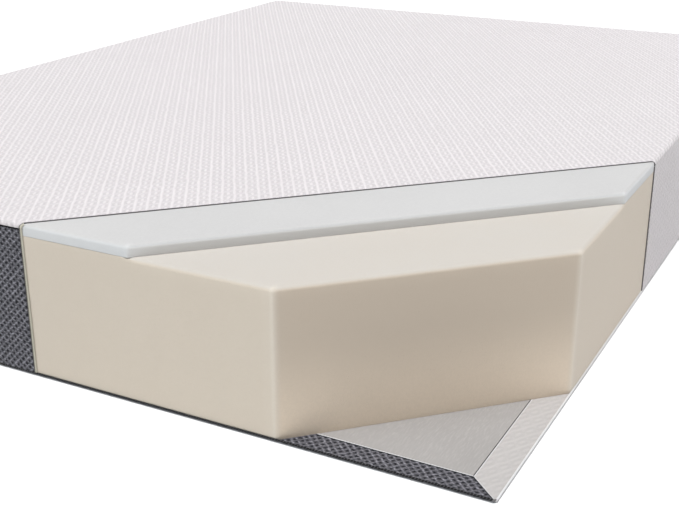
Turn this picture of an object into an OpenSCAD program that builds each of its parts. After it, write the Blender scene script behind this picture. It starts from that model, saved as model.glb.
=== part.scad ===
// Memory foam mattress with one corner cut open in three steps, so that its layers show.
// +X points to the head end, +Z is up, and the origin is the middle of the underside.
// Seen from the foot end, the opened corner is the right one, at -X and -Y.

/* [Mattress] */
// Length, from the foot end to the head end
mattress_l = 2000; // [1600:10:2400]
// Width, from one long side to the other
mattress_w = 1500; // [1200:10:1900]
// Height, cover included
mattress_h = 250; // [200:5:320]
// Thickness of the memory foam layer
memory_t = 18; // [14:1:60]

/* [Cover] */
// Thickness of the cover's cloth
cover_t = 2; // [1.6:0.1:2.6]
// Rounding of the cover's top edges
top_r = 8; // [6:0.5:12]
// Rounding of the cover's bottom edges
bottom_r = 4; // [3:0.5:5]
// Rounding of the cover's upright corners
corner_r = 6; // [4:0.5:12]
// How far the top panel rolls down over the sides
top_wrap = 8; // [6:0.5:14]
// Width of a sewn seam
seam_w = 3; // [2:0.5:5]
// Width of the foot and head cloth that is turned under
end_turn_under = 42; // [25:1:55]
// Width of the long sides' cloth that is turned under
side_turn_under = 46; // [25:1:55]
// Width of the blank label
label_w = 45; // [20:1:70]
// Height of the blank label
label_h = 60; // [20:1:80]

/* [Opened corner] */
// Distance from the corner to the cover's cut, along both sides
cover_cut = 755; // [620:5:1000]
// Distance from the corner to the memory foam's cut
memory_cut = 561; // [450:1:600]
// Distance from the corner to the base foam's cut
base_cut = 325; // [150:5:430]

/* [Zip] */
// Height of the zip's middle above the underside
zip_z = 60; // [40:1:90]
// Distance from each long side to the zip's opening
zip_margin = 100; // [40:5:250]
// How deep the zip sits behind the head end
zip_sink = 6; // [5.5:0.5:9]
// Width of one zip tape
tape_w = 13; // [10:0.5:18]
// Thickness of the zip tape
tape_t = 0.8; // [0.5:0.1:1]
// Width of one row of zip coils
coil_w = 3; // [2.5:0.1:3.2]
// Height of the coils above the tape
coil_t = 2.2; // [1.6:0.1:2.4]
// Length of the slider
slider_l = 14; // [10:0.5:20]
// Thickness of the slider's side flanges
flange_t = 0.7; // [0.5:0.1:1]
// Room above and below the slider in its opening
slider_room = 1; // [0.6:0.1:2]
// Length of the puller, from its pin to its tip
puller_l = 26; // [16:1:30]

/* [Hidden] */
$fn = 48;

knit_white = [0.92, 0.91, 0.91];
mesh_grey = [0.32, 0.32, 0.35];
thread_black = [0.10, 0.10, 0.11];
felt_grey = [0.72, 0.71, 0.72];
foam_cream = [0.87, 0.82, 0.75];
foam_pale = [0.84, 0.86, 0.88];

big = mattress_l + mattress_w;
half_l = mattress_l / 2;
half_w = mattress_w / 2;
inside_l = mattress_l - 2 * cover_t;
inside_w = mattress_w - 2 * cover_t;
inside_top = mattress_h - cover_t;
foam_split_z = inside_top - memory_t;
foam_top_r = top_r - cover_t;
foam_bottom_r = bottom_r - cover_t;
foam_corner_r = corner_r - cover_t;
cut_bevel = 3;
wall_bottom = cover_t + seam_w;
wall_top = mattress_h - top_wrap - seam_w;
wall_zone = 60;
mitre_w = 2;
seam_under = 0.4;

// The zip's own frame: X out of the head end from its face, Y along the zip, Z up from its middle.
zip_half = half_w - zip_margin;
lip_end = -cover_t - zip_sink;
coil_top = lip_end + coil_t;
tape_back = lip_end - tape_t;
running_gap = 0.4;
chain_gap = 1.8;
coil_in = chain_gap / 2;
coil_out = coil_in + coil_w;
flange_in = coil_out + running_gap;
slider_w = 2 * (flange_in + flange_t);
zip_gap = slider_w + 2 * slider_room;
stop_l = 6;
chain_half = zip_half - puller_l - 8;
wing_t = 1.2;
wing_bottom = coil_top + running_gap;
wing_top = wing_bottom + wing_t;
back_wing_top = tape_back - running_gap;
back_wing_bottom = back_wing_top - wing_t;
neck_w = chain_gap - 2 * running_gap;
neck_l = 4;
flange_inset = 2;
wing_nose = 2;
wing_taper = 0.8;
weld = 0.2;
slider_rest_y = -(chain_half - 1 - slider_l / 2);
pin_r = 0.7;
pin_gap = 0.3;
pin_x = wing_top + pin_gap + pin_r;
bridge_w = 2.4;
bridge_l = 9;
bridge_post = 1.2;
bridge_t = 0.8;
bridge_top = pin_x + pin_r + pin_gap + bridge_t;
arm_w = 1.2;
arm_in = bridge_w / 2 + running_gap;
puller_t = 1.2;
puller_w = 7;
puller_root = 6;
pocket_ease = 1;
pocket_depth = pocket_ease - back_wing_bottom;
pocket_half_h = coil_in + tape_w + pocket_ease;
pocket_margin = 2;
label_t = 0.4;
label_y = -half_w + 190;
label_z = mattress_h / 2;

// A rectangle w wide, standing on the origin h high, with rounded upper and lower corners.
module edge_profile(w, h, r_up, r_low) {
    translate([-w / 2, r_low]) square([w, h - r_up - r_low]);
    translate([-w / 2 + r_up, h - r_up]) square([w - 2 * r_up, r_up]);
    translate([-w / 2 + r_low, 0]) square([w - 2 * r_low, r_low]);
    for (side = [-1, 1]) {
        translate([side * (w / 2 - r_up), h - r_up]) circle(r_up);
        translate([side * (w / 2 - r_low), r_low]) circle(r_low);
    }
}

// A block on the origin's axis, from z0 to z1, with every edge rounded.
module soft_block(l, w, z0, z1, r_corner, r_up, r_low) {
    h = z1 - z0;
    translate([0, 0, z0]) intersection() {
        translate([0, -w / 2, 0]) linear_extrude(h) edge_profile(l, w, r_corner, r_corner);
        translate([0, w / 2, 0]) rotate([90, 0, 0]) linear_extrude(w) edge_profile(l, h, r_up, r_low);
        translate([-l / 2, 0, 0]) rotate([90, 0, 90]) linear_extrude(l) edge_profile(w, h, r_up, r_low);
    }
}

// Everything behind a slanting cut that starts at distance d from the opened corner on both sides.
// The cut's upper and lower edges are bevelled.
module behind_cut(d, z0, z1) {
    h = z1 - z0;
    translate([-half_l, -half_w, z0]) rotate([0, 0, 45])
        translate([d / sqrt(2), big / 2, 0]) rotate([90, 0, 0]) linear_extrude(big)
            polygon([[cut_bevel, 0], [big, 0], [big, h], [cut_bevel, h], [0, h - cut_bevel], [0, cut_bevel]]);
}

// Plain version of the same cut, for the cover.
module behind_cover_cut() {
    translate([-half_l, -half_w, 0]) rotate([0, 0, 45])
        translate([cover_cut / sqrt(2), -big / 2, -1]) cube([big, big, mattress_h + 2]);
}

module cover_outside() {
    soft_block(mattress_l, mattress_w, 0, mattress_h, corner_r, top_r, bottom_r);
}

module cover_inside() {
    soft_block(inside_l, inside_w, cover_t, inside_top, foam_corner_r, foam_top_r, foam_bottom_r);
}

module layer(z0, z1) {
    translate([-half_l - 1, -half_w - 1, z0]) cube([mattress_l + 2, mattress_w + 2, z1 - z0]);
}

// The zone along one side, with slanting ends. Side 0 is the foot, 1 near, 2 head, 3 far.
module side_zone(side, ease) {
    end = side % 2 == 0;
    span = end ? mattress_w : mattress_l;
    reach = end ? half_l : half_w;
    rotate([0, 0, 90 * side]) translate([-reach, 0, -1]) linear_extrude(mattress_h + 2)
        polygon([[0, -span / 2 + ease], [0, span / 2 - ease],
            [wall_zone, span / 2 - ease - wall_zone], [wall_zone, -span / 2 + ease + wall_zone]]);
}

// The strip between two walls at an upright corner.
module corner_zone(sx, sy) {
    s = seam_w / sqrt(2);
    translate([sx * half_l, sy * half_w, -1]) scale_to_corner(sx, sy) linear_extrude(mattress_h + 2)
        polygon([[0, 0], [s, 0], [wall_zone + s, wall_zone], [wall_zone, wall_zone + s], [0, s]]);
}

// Turns a shape drawn towards +X and +Y so that it points inwards from the corner at sx, sy.
module scale_to_corner(sx, sy) {
    mirror([sx > 0 ? 1 : 0, 0, 0]) mirror([0, sy > 0 ? 1 : 0, 0]) children();
}

// The cover's skin between two heights.
module skin(z0, z1) {
    intersection() {
        difference() {
            cover_outside();
            cover_inside();
        }
        layer(z0, z1);
    }
}

module wall(side) {
    intersection() {
        skin(wall_bottom, wall_top);
        side_zone(side, seam_w / sqrt(2));
        behind_cover_cut();
    }
}

module top_seam(side) {
    intersection() {
        skin(wall_top, mattress_h - top_wrap);
        side_zone(side, 0);
        behind_cover_cut();
    }
}

module bottom_seam(side) {
    difference() {
        intersection() {
            skin(cover_t, wall_bottom);
            side_zone(side, 0);
        }
        translate([-half_l + bottom_r, -half_w + bottom_r, 0])
            cube([mattress_l - 2 * bottom_r, mattress_w - 2 * bottom_r, wall_bottom + 1]);
    }
}

// Foam

module base_foam() {
    color(foam_cream) difference() {
        intersection() {
            soft_block(inside_l, inside_w, cover_t, foam_split_z,
                foam_corner_r, foam_top_r, foam_bottom_r);
            behind_cut(base_cut, cover_t, foam_split_z);
        }
        translate([half_l - pocket_depth, -zip_half - pocket_margin, zip_z - pocket_half_h])
            cube([pocket_depth, 2 * (zip_half + pocket_margin), 2 * pocket_half_h]);
    }
}

module memory_foam() {
    color(foam_pale) intersection() {
        soft_block(inside_l, inside_w, foam_split_z, inside_top,
            foam_corner_r, foam_top_r, foam_top_r);
        behind_cut(memory_cut, foam_split_z, inside_top);
    }
}

// Cover, sides and top

module cover_top_panel() {
    color(knit_white) intersection() {
        skin(mattress_h - top_wrap, mattress_h + 1);
        behind_cover_cut();
    }
}

module foot_end_wall() {
    color(mesh_grey) wall(0);
}

module near_side_wall() {
    color(knit_white) wall(1);
}

module far_side_wall() {
    color(knit_white) wall(3);
}

// The folded edge that carries the zip tape, above or below the opening.
module zip_lip(side) {
    z0 = side > 0 ? zip_gap / 2 : -zip_gap / 2 - cover_t;
    translate([half_l + lip_end, -zip_half, zip_z + z0]) cube([-lip_end, 2 * zip_half, cover_t]);
}

module head_wall(side) {
    union() {
        difference() {
            intersection() {
                wall(2);
                layer(side > 0 ? zip_z : 0, side > 0 ? mattress_h : zip_z);
            }
            translate([half_l - 2 * cover_t, -zip_half, zip_z - zip_gap / 2])
                cube([3 * cover_t, 2 * zip_half, zip_gap]);
        }
        zip_lip(side);
    }
}

module head_end_wall_upper() {
    color(mesh_grey) head_wall(1);
}

module head_end_wall_lower() {
    color(mesh_grey) head_wall(-1);
}

// Cover, underside

module panel_opening(grow, z0, z1) {
    translate([-half_l + end_turn_under - grow, -half_w + side_turn_under - grow, z0])
        cube([mattress_l - 2 * end_turn_under + 2 * grow,
            mattress_w - 2 * side_turn_under + 2 * grow, z1 - z0]);
}

// The slanting seams where two turned-under strips meet.
module mitre_strips(z0, z1) {
    for (sx = [-1, 1]) {
        for (sy = [-1, 1]) {
            translate([sx * half_l, sy * half_w, z0]) scale_to_corner(sx, sy)
                rotate([0, 0, atan2(side_turn_under, end_turn_under)])
                    translate([-10, -mitre_w / 2, 0]) cube([wall_zone * 2, mitre_w, z1 - z0]);
        }
    }
}

// The plan of one turned-under strip before the mitre seams are taken out of it.
module strip_plan(side) {
    end = side % 2 == 0;
    span = end ? mattress_w : mattress_l;
    reach = end ? half_l : half_w;
    depth = end ? end_turn_under : side_turn_under;
    across = end ? side_turn_under : end_turn_under;
    rotate([0, 0, 90 * side]) translate([-reach, 0, -1]) linear_extrude(mattress_h)
        polygon([[0, -span / 2], [0, span / 2], [depth, span / 2 - across], [depth, -span / 2 + across]]);
}

module turn_under(side) {
    difference() {
        intersection() {
            cover_outside();
            layer(0, cover_t);
            strip_plan(side);
        }
        mitre_strips(-1, cover_t + 1);
    }
}

module foot_turn_under() {
    color(mesh_grey) turn_under(0);
}

module near_turn_under() {
    color(knit_white) turn_under(1);
}

module far_turn_under() {
    color(knit_white) turn_under(3);
}

module head_turn_under() {
    color(mesh_grey) turn_under(2);
}

module bottom_panel() {
    color(felt_grey) panel_opening(-seam_w, 0, cover_t);
}

// Seams

module foot_top_seam() {
    color(thread_black) top_seam(0);
}

module near_top_seam() {
    color(knit_white) top_seam(1);
}

module far_top_seam() {
    color(knit_white) top_seam(3);
}

module head_top_seam() {
    color(thread_black) top_seam(2);
}

module foot_bottom_seam() {
    color(thread_black) bottom_seam(0);
}

module near_bottom_seam() {
    color(knit_white) bottom_seam(1);
}

module far_bottom_seam() {
    color(knit_white) bottom_seam(3);
}

module head_bottom_seam() {
    color(thread_black) bottom_seam(2);
}

module corner_seams() {
    color(thread_black) for (corner = [[-1, 1], [1, -1], [1, 1]]) {
        intersection() {
            skin(wall_bottom, wall_top);
            corner_zone(corner[0], corner[1]);
        }
    }
}

module turn_under_mitre_seams() {
    color(thread_black) difference() {
        intersection() {
            cover_outside();
            mitre_strips(seam_under, cover_t);
        }
        panel_opening(0, -1, cover_t + 1);
    }
}

module bottom_panel_seam() {
    color(thread_black) difference() {
        panel_opening(0, seam_under, cover_t);
        panel_opening(-seam_w, -1, cover_t + 1);
    }
}

// Zip

module in_zip_frame() {
    translate([half_l, 0, zip_z]) children();
}

module zip_tape(side) {
    z0 = side > 0 ? coil_in : -coil_in - tape_w;
    in_zip_frame() translate([tape_back, -zip_half, z0]) cube([tape_t, 2 * zip_half, tape_w]);
}

module zip_coil(side) {
    z0 = side > 0 ? coil_in : -coil_out;
    in_zip_frame() translate([lip_end, -chain_half, z0]) cube([coil_t, 2 * chain_half, coil_w]);
}

module zip_tape_upper() {
    color(thread_black) zip_tape(1);
}

module zip_tape_lower() {
    color(thread_black) zip_tape(-1);
}

module zip_coil_upper() {
    color(thread_black) zip_coil(1);
}

module zip_coil_lower() {
    color(thread_black) zip_coil(-1);
}

module zip_stops() {
    color("silver") in_zip_frame() for (y = [-chain_half - stop_l, chain_half]) {
        translate([lip_end, y, -coil_out]) cube([coil_t, stop_l, 2 * coil_out]);
    }
}

// One wing of the slider: narrow at its back end, with both corners of its front end cut.
module slider_wing(x0) {
    front = slider_l / 2;
    half = slider_w / 2;
    translate([x0, 0, 0]) rotate([90, 0, 90]) linear_extrude(wing_t)
        polygon([[-front, wing_taper - half], [front - wing_nose, -half], [front, wing_nose - half],
            [front, half - wing_nose], [front - wing_nose, half], [-front, half - wing_taper]]);
}

module slider_flange(side) {
    z0 = side > 0 ? flange_in : -flange_in - flange_t;
    translate([lip_end + running_gap, -slider_l / 2 + flange_inset, z0])
        cube([wing_bottom - lip_end - running_gap + weld, slider_l - 2 * flange_inset, flange_t]);
}

module slider_bridge() {
    for (y = [-bridge_l / 2, bridge_l / 2 - bridge_post]) {
        translate([wing_top - weld, y, -bridge_w / 2])
            cube([bridge_top - wing_top + weld, bridge_post, bridge_w]);
    }
    translate([bridge_top - bridge_t, -bridge_l / 2, -bridge_w / 2]) cube([bridge_t, bridge_l, bridge_w]);
}

module zip_slider() {
    color("silver") in_zip_frame() translate([0, slider_rest_y, 0]) union() {
        slider_wing(wing_bottom);
        slider_wing(back_wing_bottom);
        translate([back_wing_top - weld, slider_l / 2 - neck_l - 1, -neck_w / 2])
            cube([wing_bottom - back_wing_top + 2 * weld, neck_l, neck_w]);
        slider_flange(1);
        slider_flange(-1);
        slider_bridge();
    }
}

module zip_puller() {
    plate_end = puller_l - puller_w / 2;
    pin_half = arm_in + arm_w;
    color("silver") in_zip_frame() translate([pin_x, slider_rest_y, 0]) union() {
        translate([0, 0, -pin_half]) cylinder(h = 2 * pin_half, r = pin_r);
        for (z = [-pin_half, arm_in]) {
            translate([-puller_t / 2, 0, z]) cube([puller_t, puller_root + 1, arm_w]);
        }
        translate([-puller_t / 2, 0, 0]) rotate([90, 0, 90]) linear_extrude(puller_t) difference() {
            union() {
                translate([puller_root, -puller_w / 2]) square([plate_end - puller_root, puller_w]);
                translate([plate_end, 0]) circle(puller_w / 2);
            }
            translate([plate_end, 0]) circle(puller_w / 4);
        }
    }
}

module care_label() {
    color("white") translate([half_l, label_y - label_w / 2, label_z - label_h / 2])
        cube([label_t, label_w, label_h]);
}

base_foam();
memory_foam();
cover_top_panel();
foot_end_wall();
near_side_wall();
far_side_wall();
head_end_wall_upper();
head_end_wall_lower();
foot_turn_under();
near_turn_under();
far_turn_under();
head_turn_under();
bottom_panel();
foot_top_seam();
near_top_seam();
far_top_seam();
head_top_seam();
foot_bottom_seam();
near_bottom_seam();
far_bottom_seam();
head_bottom_seam();
corner_seams();
turn_under_mitre_seams();
bottom_panel_seam();
zip_tape_upper();
zip_tape_lower();
zip_coil_upper();
zip_coil_lower();
zip_stops();
zip_slider();
zip_puller();
care_label();
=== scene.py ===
"""Looks of a memory foam mattress whose near foot corner is cut open in three steps.

Lengths are metres in the frame's axes: +X to the head end, +Z up, the opened corner at -X, -Y.
Every surface is a grid of points worked out as whole arrays. Every cloth carries a UV map in
metres, so that its knit or mesh keeps its true size wherever the cloth turns.
"""

import logging
import math
from dataclasses import dataclass, field
from enum import Enum
from typing import Any, Optional, Sequence, Tuple

import bpy
import numpy as np
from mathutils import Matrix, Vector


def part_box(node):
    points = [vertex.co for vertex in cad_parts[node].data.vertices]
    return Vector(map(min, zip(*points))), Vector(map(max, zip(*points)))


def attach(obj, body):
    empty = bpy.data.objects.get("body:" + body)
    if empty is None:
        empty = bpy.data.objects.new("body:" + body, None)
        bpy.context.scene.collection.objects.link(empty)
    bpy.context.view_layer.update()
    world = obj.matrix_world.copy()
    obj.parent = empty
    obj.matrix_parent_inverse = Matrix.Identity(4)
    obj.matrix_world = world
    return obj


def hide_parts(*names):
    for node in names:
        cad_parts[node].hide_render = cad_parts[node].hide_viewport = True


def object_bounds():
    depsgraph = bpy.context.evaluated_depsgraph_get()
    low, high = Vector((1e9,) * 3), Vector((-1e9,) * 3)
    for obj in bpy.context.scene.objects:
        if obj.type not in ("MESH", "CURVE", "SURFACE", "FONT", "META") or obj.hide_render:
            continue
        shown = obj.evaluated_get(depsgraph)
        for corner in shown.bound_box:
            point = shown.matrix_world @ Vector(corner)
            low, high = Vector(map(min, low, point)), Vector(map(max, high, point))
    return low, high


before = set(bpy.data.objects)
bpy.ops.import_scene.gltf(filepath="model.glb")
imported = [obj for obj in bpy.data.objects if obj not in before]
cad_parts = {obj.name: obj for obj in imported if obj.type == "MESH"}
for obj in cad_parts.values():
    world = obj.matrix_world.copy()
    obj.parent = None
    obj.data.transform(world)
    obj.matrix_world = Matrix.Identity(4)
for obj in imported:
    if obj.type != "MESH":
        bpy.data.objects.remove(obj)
cad_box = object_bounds()

logging.basicConfig(level=logging.INFO, format="%(message)s")
log = logging.getLogger("mattress")

Array = np.ndarray
Colour = Tuple[float, float, float]
Material = bpy.types.Material
Piece = bpy.types.Object
Shape = Tuple[Array, Array]  # points, and faces as four point numbers each

UV_NAME = "metres"
# Attribute that masks the foam's painted highlight along its upright edges.
EDGE_NAME = "upright_edge"
BODY = "mattress"
TINY = 1e-12
UPWARDS = (0.0, 0.0, 1.0)
SPAN_KEYS = ("From Min", "From Max", "To Min", "To Max")


# ---------------------------------------------------------------------------------------------
# Sizes read from the frame
# ---------------------------------------------------------------------------------------------


class Side(Enum):
    """The four sides, each with its direction along (counterclockwise from above) and outwards."""

    FOOT = ((0.0, -1.0), (-1.0, 0.0))
    NEAR = ((1.0, 0.0), (0.0, -1.0))
    HEAD = ((0.0, 1.0), (1.0, 0.0))
    FAR = ((-1.0, 0.0), (0.0, 1.0))

    @property
    def along(self) -> Array:
        """Direction along the side, seen from outside from left to right."""
        return np.array(self.value[0] + (0.0,))

    @property
    def out(self) -> Array:
        """Direction straight out of the side."""
        return np.array(self.value[1] + (0.0,))

    @property
    def is_end(self) -> bool:
        """True for the foot and head ends, which are covered in dark mesh."""
        return self in (Side.FOOT, Side.HEAD)


def cut_distance(node: str) -> float:
    """Distance from the opened corner to a node's slanting cut, along both sides.

    The cut runs where x + y is constant, so it is the node's smallest x + y, counted from the
    corner of the whole mattress.

    Args:
        node: Name of a frame node that has the cut.

    Returns:
        The distance in metres.
    """
    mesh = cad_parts[node].data
    points = np.empty(len(mesh.vertices) * 3)
    mesh.vertices.foreach_get("co", points)
    points = points.reshape(-1, 3)
    lo, _ = cad_box
    return float((points[:, 0] + points[:, 1]).min() - lo[0] - lo[1])


@dataclass(frozen=True)
class Sizes:
    """Driving sizes of the mattress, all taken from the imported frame."""

    half_l: float
    half_w: float
    height: float
    cloth: float
    seam_low: float
    seam_high: float
    wall_low: float
    cover_cut: float
    memory_cut: float
    base_cut: float
    end_turn: float
    side_turn: float
    panel_seam: float
    top_r: float
    bottom_r: float = 0.004
    corner_r: float = 0.006

    @classmethod
    def from_frame(cls) -> "Sizes":
        """Reads the boxes of the frame's nodes.

        Returns:
            The sizes of this mattress.
        """
        top_lo, top_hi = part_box("cover_top_panel")
        panel_lo, panel_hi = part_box("bottom_panel")
        seam_lo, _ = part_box("bottom_panel_seam")
        top_seam_lo, top_seam_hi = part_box("foot_top_seam")
        half_l, half_w = float(top_hi[0]), float(top_hi[1])
        return cls(
            half_l=half_l,
            half_w=half_w,
            height=float(top_hi[2]),
            cloth=float(panel_hi[2]),
            seam_low=float(top_seam_lo[2]),
            seam_high=float(top_seam_hi[2]),
            wall_low=float(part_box("foot_end_wall")[0][2]),
            cover_cut=cut_distance("cover_top_panel"),
            memory_cut=cut_distance("memory_foam"),
            base_cut=cut_distance("base_foam"),
            end_turn=float(seam_lo[0]) + half_l,
            side_turn=float(seam_lo[1]) + half_w,
            panel_seam=float(panel_lo[0] - seam_lo[0]),
            top_r=float(top_hi[2] - top_lo[2]),
        )

    def reach(self, side: Side) -> float:
        """Distance from the middle of the mattress out to a side's face."""
        return self.half_l if side.is_end else self.half_w

    def half_span(self, side: Side) -> float:
        """Half the length of a side."""
        return self.half_w if side.is_end else self.half_l

    def turn(self, side: Side) -> float:
        """Width of the cloth turned under at a side."""
        return self.end_turn if side.is_end else self.side_turn


# ---------------------------------------------------------------------------------------------
# Mesh making
# ---------------------------------------------------------------------------------------------


def grid_quads(rows: int, cols: int, close_cols: bool = False) -> Array:
    """Faces of a grid whose points are numbered row by row.

    A face runs a point, its neighbour along the row, then the two in the next row, so its
    outward side is the row direction crossed with the column direction.

    Args:
        rows: Number of rows of points.
        cols: Number of points in each row.
        close_cols: Joins the last point of each row to the first.

    Returns:
        An array of four point numbers per face.
    """
    r = np.arange(rows - 1)[:, None]
    c = np.arange(cols if close_cols else cols - 1)[None, :]
    nxt = (c + 1) % cols
    quads = np.stack([r * cols + c, r * cols + nxt, (r + 1) * cols + nxt, (r + 1) * cols + c], -1)
    return quads.reshape(-1, 4)


def rim_loop(rows: int, cols: int) -> Array:
    """Numbers of a grid's edge points, in the direction in which its faces use them."""
    index = np.arange(rows * cols).reshape(rows, cols)
    return np.concatenate([index[0, :-1], index[:-1, -1], index[-1, :0:-1], index[:0:-1, 0]])


def make_piece(
    name: str, points: Array, quads: Array, uv: Optional[Array] = None, sharp_deg: float = 45.0
) -> Piece:
    """Puts arrays of points and faces into a new object.

    Args:
        name: Name of the piece.
        points: Points, one row of x, y, z each.
        quads: Faces, four point numbers each.
        uv: One pair of metres per point, for cloth that carries a weave.
        sharp_deg: Edges that bend more than this stay sharp.

    Returns:
        The object, linked to the scene, with smooth shading.
    """
    mesh = bpy.data.meshes.new(name)
    mesh.vertices.add(len(points))
    mesh.vertices.foreach_set("co", np.ascontiguousarray(points, dtype=np.float32).ravel())
    mesh.loops.add(quads.size)
    mesh.loops.foreach_set("vertex_index", quads.astype(np.int32).ravel())
    mesh.polygons.add(len(quads))
    mesh.polygons.foreach_set("loop_start", np.arange(0, quads.size, 4, dtype=np.int32))
    mesh.polygons.foreach_set("use_smooth", np.ones(len(quads), dtype=bool))
    mesh.update(calc_edges=True)
    if uv is not None:
        layer = mesh.uv_layers.new(name=UV_NAME)
        layer.data.foreach_set("uv", uv[quads.ravel()].astype(np.float32).ravel())
    mesh.set_sharp_from_angle(angle=math.radians(sharp_deg))
    mesh.validate()
    piece = bpy.data.objects.new(name, mesh)
    bpy.context.scene.collection.objects.link(piece)
    return piece


def unit(vectors: Array) -> Array:
    """The same vectors, each with length 1."""
    return vectors / np.maximum(np.linalg.norm(vectors, axis=-1, keepdims=True), TINY)


def run_length(path: Array) -> Array:
    """Distance run to each point of a path; a grid is taken as one path per column."""
    steps = np.linalg.norm(np.diff(path, axis=0), axis=-1)
    return np.concatenate([np.zeros_like(steps[:1]), np.cumsum(steps, axis=0)])


def grid_normals(grid: Array) -> Array:
    """Unit normals of a grid, from its differences along and across the rows.

    Args:
        grid: Points in rows and columns.

    Returns:
        One unit vector per point, on the outward side of the faces that grid_quads makes.
    """
    return unit(np.cross(np.gradient(grid, axis=1), np.gradient(grid, axis=0)))


def make_cloth(name: str, outer: Array, uv: Array, thickness: float) -> Piece:
    """A closed cloth: the outer grid, the same grid moved in by the thickness, and a rim.

    Args:
        name: Name of the piece.
        outer: Grid of points of the outer face.
        uv: Grid of pairs in metres.
        thickness: Distance between the two faces.

    Returns:
        The closed piece.
    """
    rows, cols = outer.shape[:2]
    count = rows * cols
    inner = outer - grid_normals(outer) * thickness
    front = grid_quads(rows, cols)
    loop = rim_loop(rows, cols)
    after = np.roll(loop, -1)
    rim = np.stack([after, loop, loop + count, after + count], -1)
    quads = np.concatenate([front, front[:, ::-1] + count, rim])
    points = np.concatenate([outer.reshape(-1, 3), inner.reshape(-1, 3)])
    flat_uv = uv.reshape(-1, 2)
    return make_piece(name, points, quads, np.concatenate([flat_uv, flat_uv]))


def frames_along(path: Array, up: Array) -> Tuple[Array, Array, Array]:
    """Directions along a path, and two more at right angles to it.

    Args:
        path: Points of the path.
        up: For each point, a direction that the second axis leans to.

    Returns:
        Unit vectors ahead, side and up for each point.
    """
    ahead = unit(np.gradient(path, axis=0))
    side = unit(np.cross(up, ahead))
    return ahead, side, np.cross(ahead, side)


def rings(path: Array, up: Array, radius: Tuple[float, float], angle: Array) -> Array:
    """Oval rings round a path.

    A ring point lies at the path plus cosine times the first radius sideways and sine times the
    second radius upwards.

    Args:
        path: Points of the path.
        up: A direction for each point, which the second radius follows.
        radius: Half width sideways and half height upwards.
        angle: Angles of the ring's points.

    Returns:
        A row of ring points for each point of the path.
    """
    _, side, lift = frames_along(path, up)
    sideways = side[:, None] * (radius[0] * np.cos(angle))[None, :, None]
    return path[:, None] + sideways + lift[:, None] * (radius[1] * np.sin(angle))[None, :, None]


def tube(path: Array, up: Array, radius: Tuple[float, float], sides: int = 8) -> Shape:
    """An oval tube along a path, whose first and last rings shrink almost to the end points.

    Args:
        path: Points of the path.
        up: A direction for each point, which the second radius follows.
        radius: Half width sideways and half height upwards.
        sides: Number of sides, an even one.

    Returns:
        Points and faces.
    """
    closing = 0.001
    ring = rings(path, up, radius, np.linspace(0, 2 * math.pi, sides, endpoint=False))
    ends = path[[0, -1]][:, None]
    tips = ends + (ring[[0, -1]] - ends) * closing
    ring = np.concatenate([tips[:1], ring, tips[1:]])
    first = np.arange(sides)
    fans = (first[::-1], first + (len(ring) - 1) * sides)
    caps = [fan[[0, k, k + 1, k + 2]] for fan in fans for k in range(1, sides - 1, 2)]
    quads = grid_quads(len(ring), sides, close_cols=True)
    return ring.reshape(-1, 3), np.concatenate([quads, np.array(caps)])


def stamp(shape: Array, quads: Array, places: Array, axes: Sequence[Array]) -> Shape:
    """Copies a small shape to many places, turned to each place's own three axes.

    Args:
        shape: Points of the small shape.
        quads: Its faces.
        places: One point per copy.
        axes: Three arrays of unit vectors, for the shape's x, y and z.

    Returns:
        Points and faces of all the copies.
    """
    turned = sum(shape[None, :, k, None] * axes[k][:, None, :] for k in range(3))
    points = (turned + places[:, None]).reshape(-1, 3)
    faces = quads[None] + (np.arange(len(places)) * len(shape))[:, None, None]
    return points, faces.reshape(-1, 4)


def join(parts: Sequence[Shape]) -> Shape:
    """Puts several sets of points and faces into one set."""
    offsets = np.cumsum([0] + [len(p) for p, _ in parts[:-1]])
    points = np.concatenate([p for p, _ in parts])
    return points, np.concatenate([q + o for (_, q), o in zip(parts, offsets)])


def make_sewn(name: str, seams: Sequence[Tuple[Shape, Shape]]) -> Piece:
    """Makes one piece of several seams, whose stitches take the second material.

    Args:
        name: Name of the piece.
        seams: For each seam its cord and its stitches.

    Returns:
        The piece.
    """
    cords, stitches = join([cord for cord, _ in seams]), join([sewn for _, sewn in seams])
    piece = make_piece(name, *join([cords, stitches]))
    index = np.repeat([0, 1], [len(cords[1]), len(stitches[1])]).astype(np.int32)
    piece.data.polygons.foreach_set("material_index", index)
    return piece


def thread_arc(width: float, height: float, wire: float, lean: float) -> Shape:
    """One stitch: a thread that goes over a seam in an arch, four sided, both ends closed.

    The arch is a half oval, so a point at angle a is width times cosine sideways and height times
    sine up, while it moves along the seam by lean times cosine.

    Args:
        width: Half width of the arch.
        height: Its height.
        wire: Radius of the thread.
        lean: How far the stitch leans along the seam.

    Returns:
        Points and faces around the origin, x along the seam and z up from it.
    """
    angle = np.linspace(math.pi, 0, 8)
    path = np.stack([lean * np.cos(angle), width * np.cos(angle), height * np.sin(angle)], -1)
    up = np.stack([0 * angle, np.cos(angle), np.sin(angle)], -1)
    corners = np.array([0.25, 0.75, 1.25, 1.75]) * math.pi
    ring = rings(path, up, (wire, wire), corners)
    end = np.arange(4)
    caps = np.stack([end[::-1], end + (len(path) - 1) * 4])
    return ring.reshape(-1, 3), np.concatenate([grid_quads(len(path), 4, close_cols=True), caps])


def resample(path: Array, step: float) -> Array:
    """Points spaced evenly along a path.

    Args:
        path: Points of the path.
        step: Wanted distance between points.

    Returns:
        New points, the ends kept.
    """
    length = run_length(path)
    count = max(2, int(round(length[-1] / step)) + 1)
    wanted = np.linspace(0, length[-1], count)
    return np.stack([np.interp(wanted, length, path[:, k]) for k in range(path.shape[1])], -1)


def smooth_step(x: Array, low: float, high: float) -> Array:
    """Rises from 0 at low to 1 at high with level ends."""
    t = np.clip((x - low) / (high - low), 0, 1)
    return t * t * (3 - 2 * t)


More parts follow.
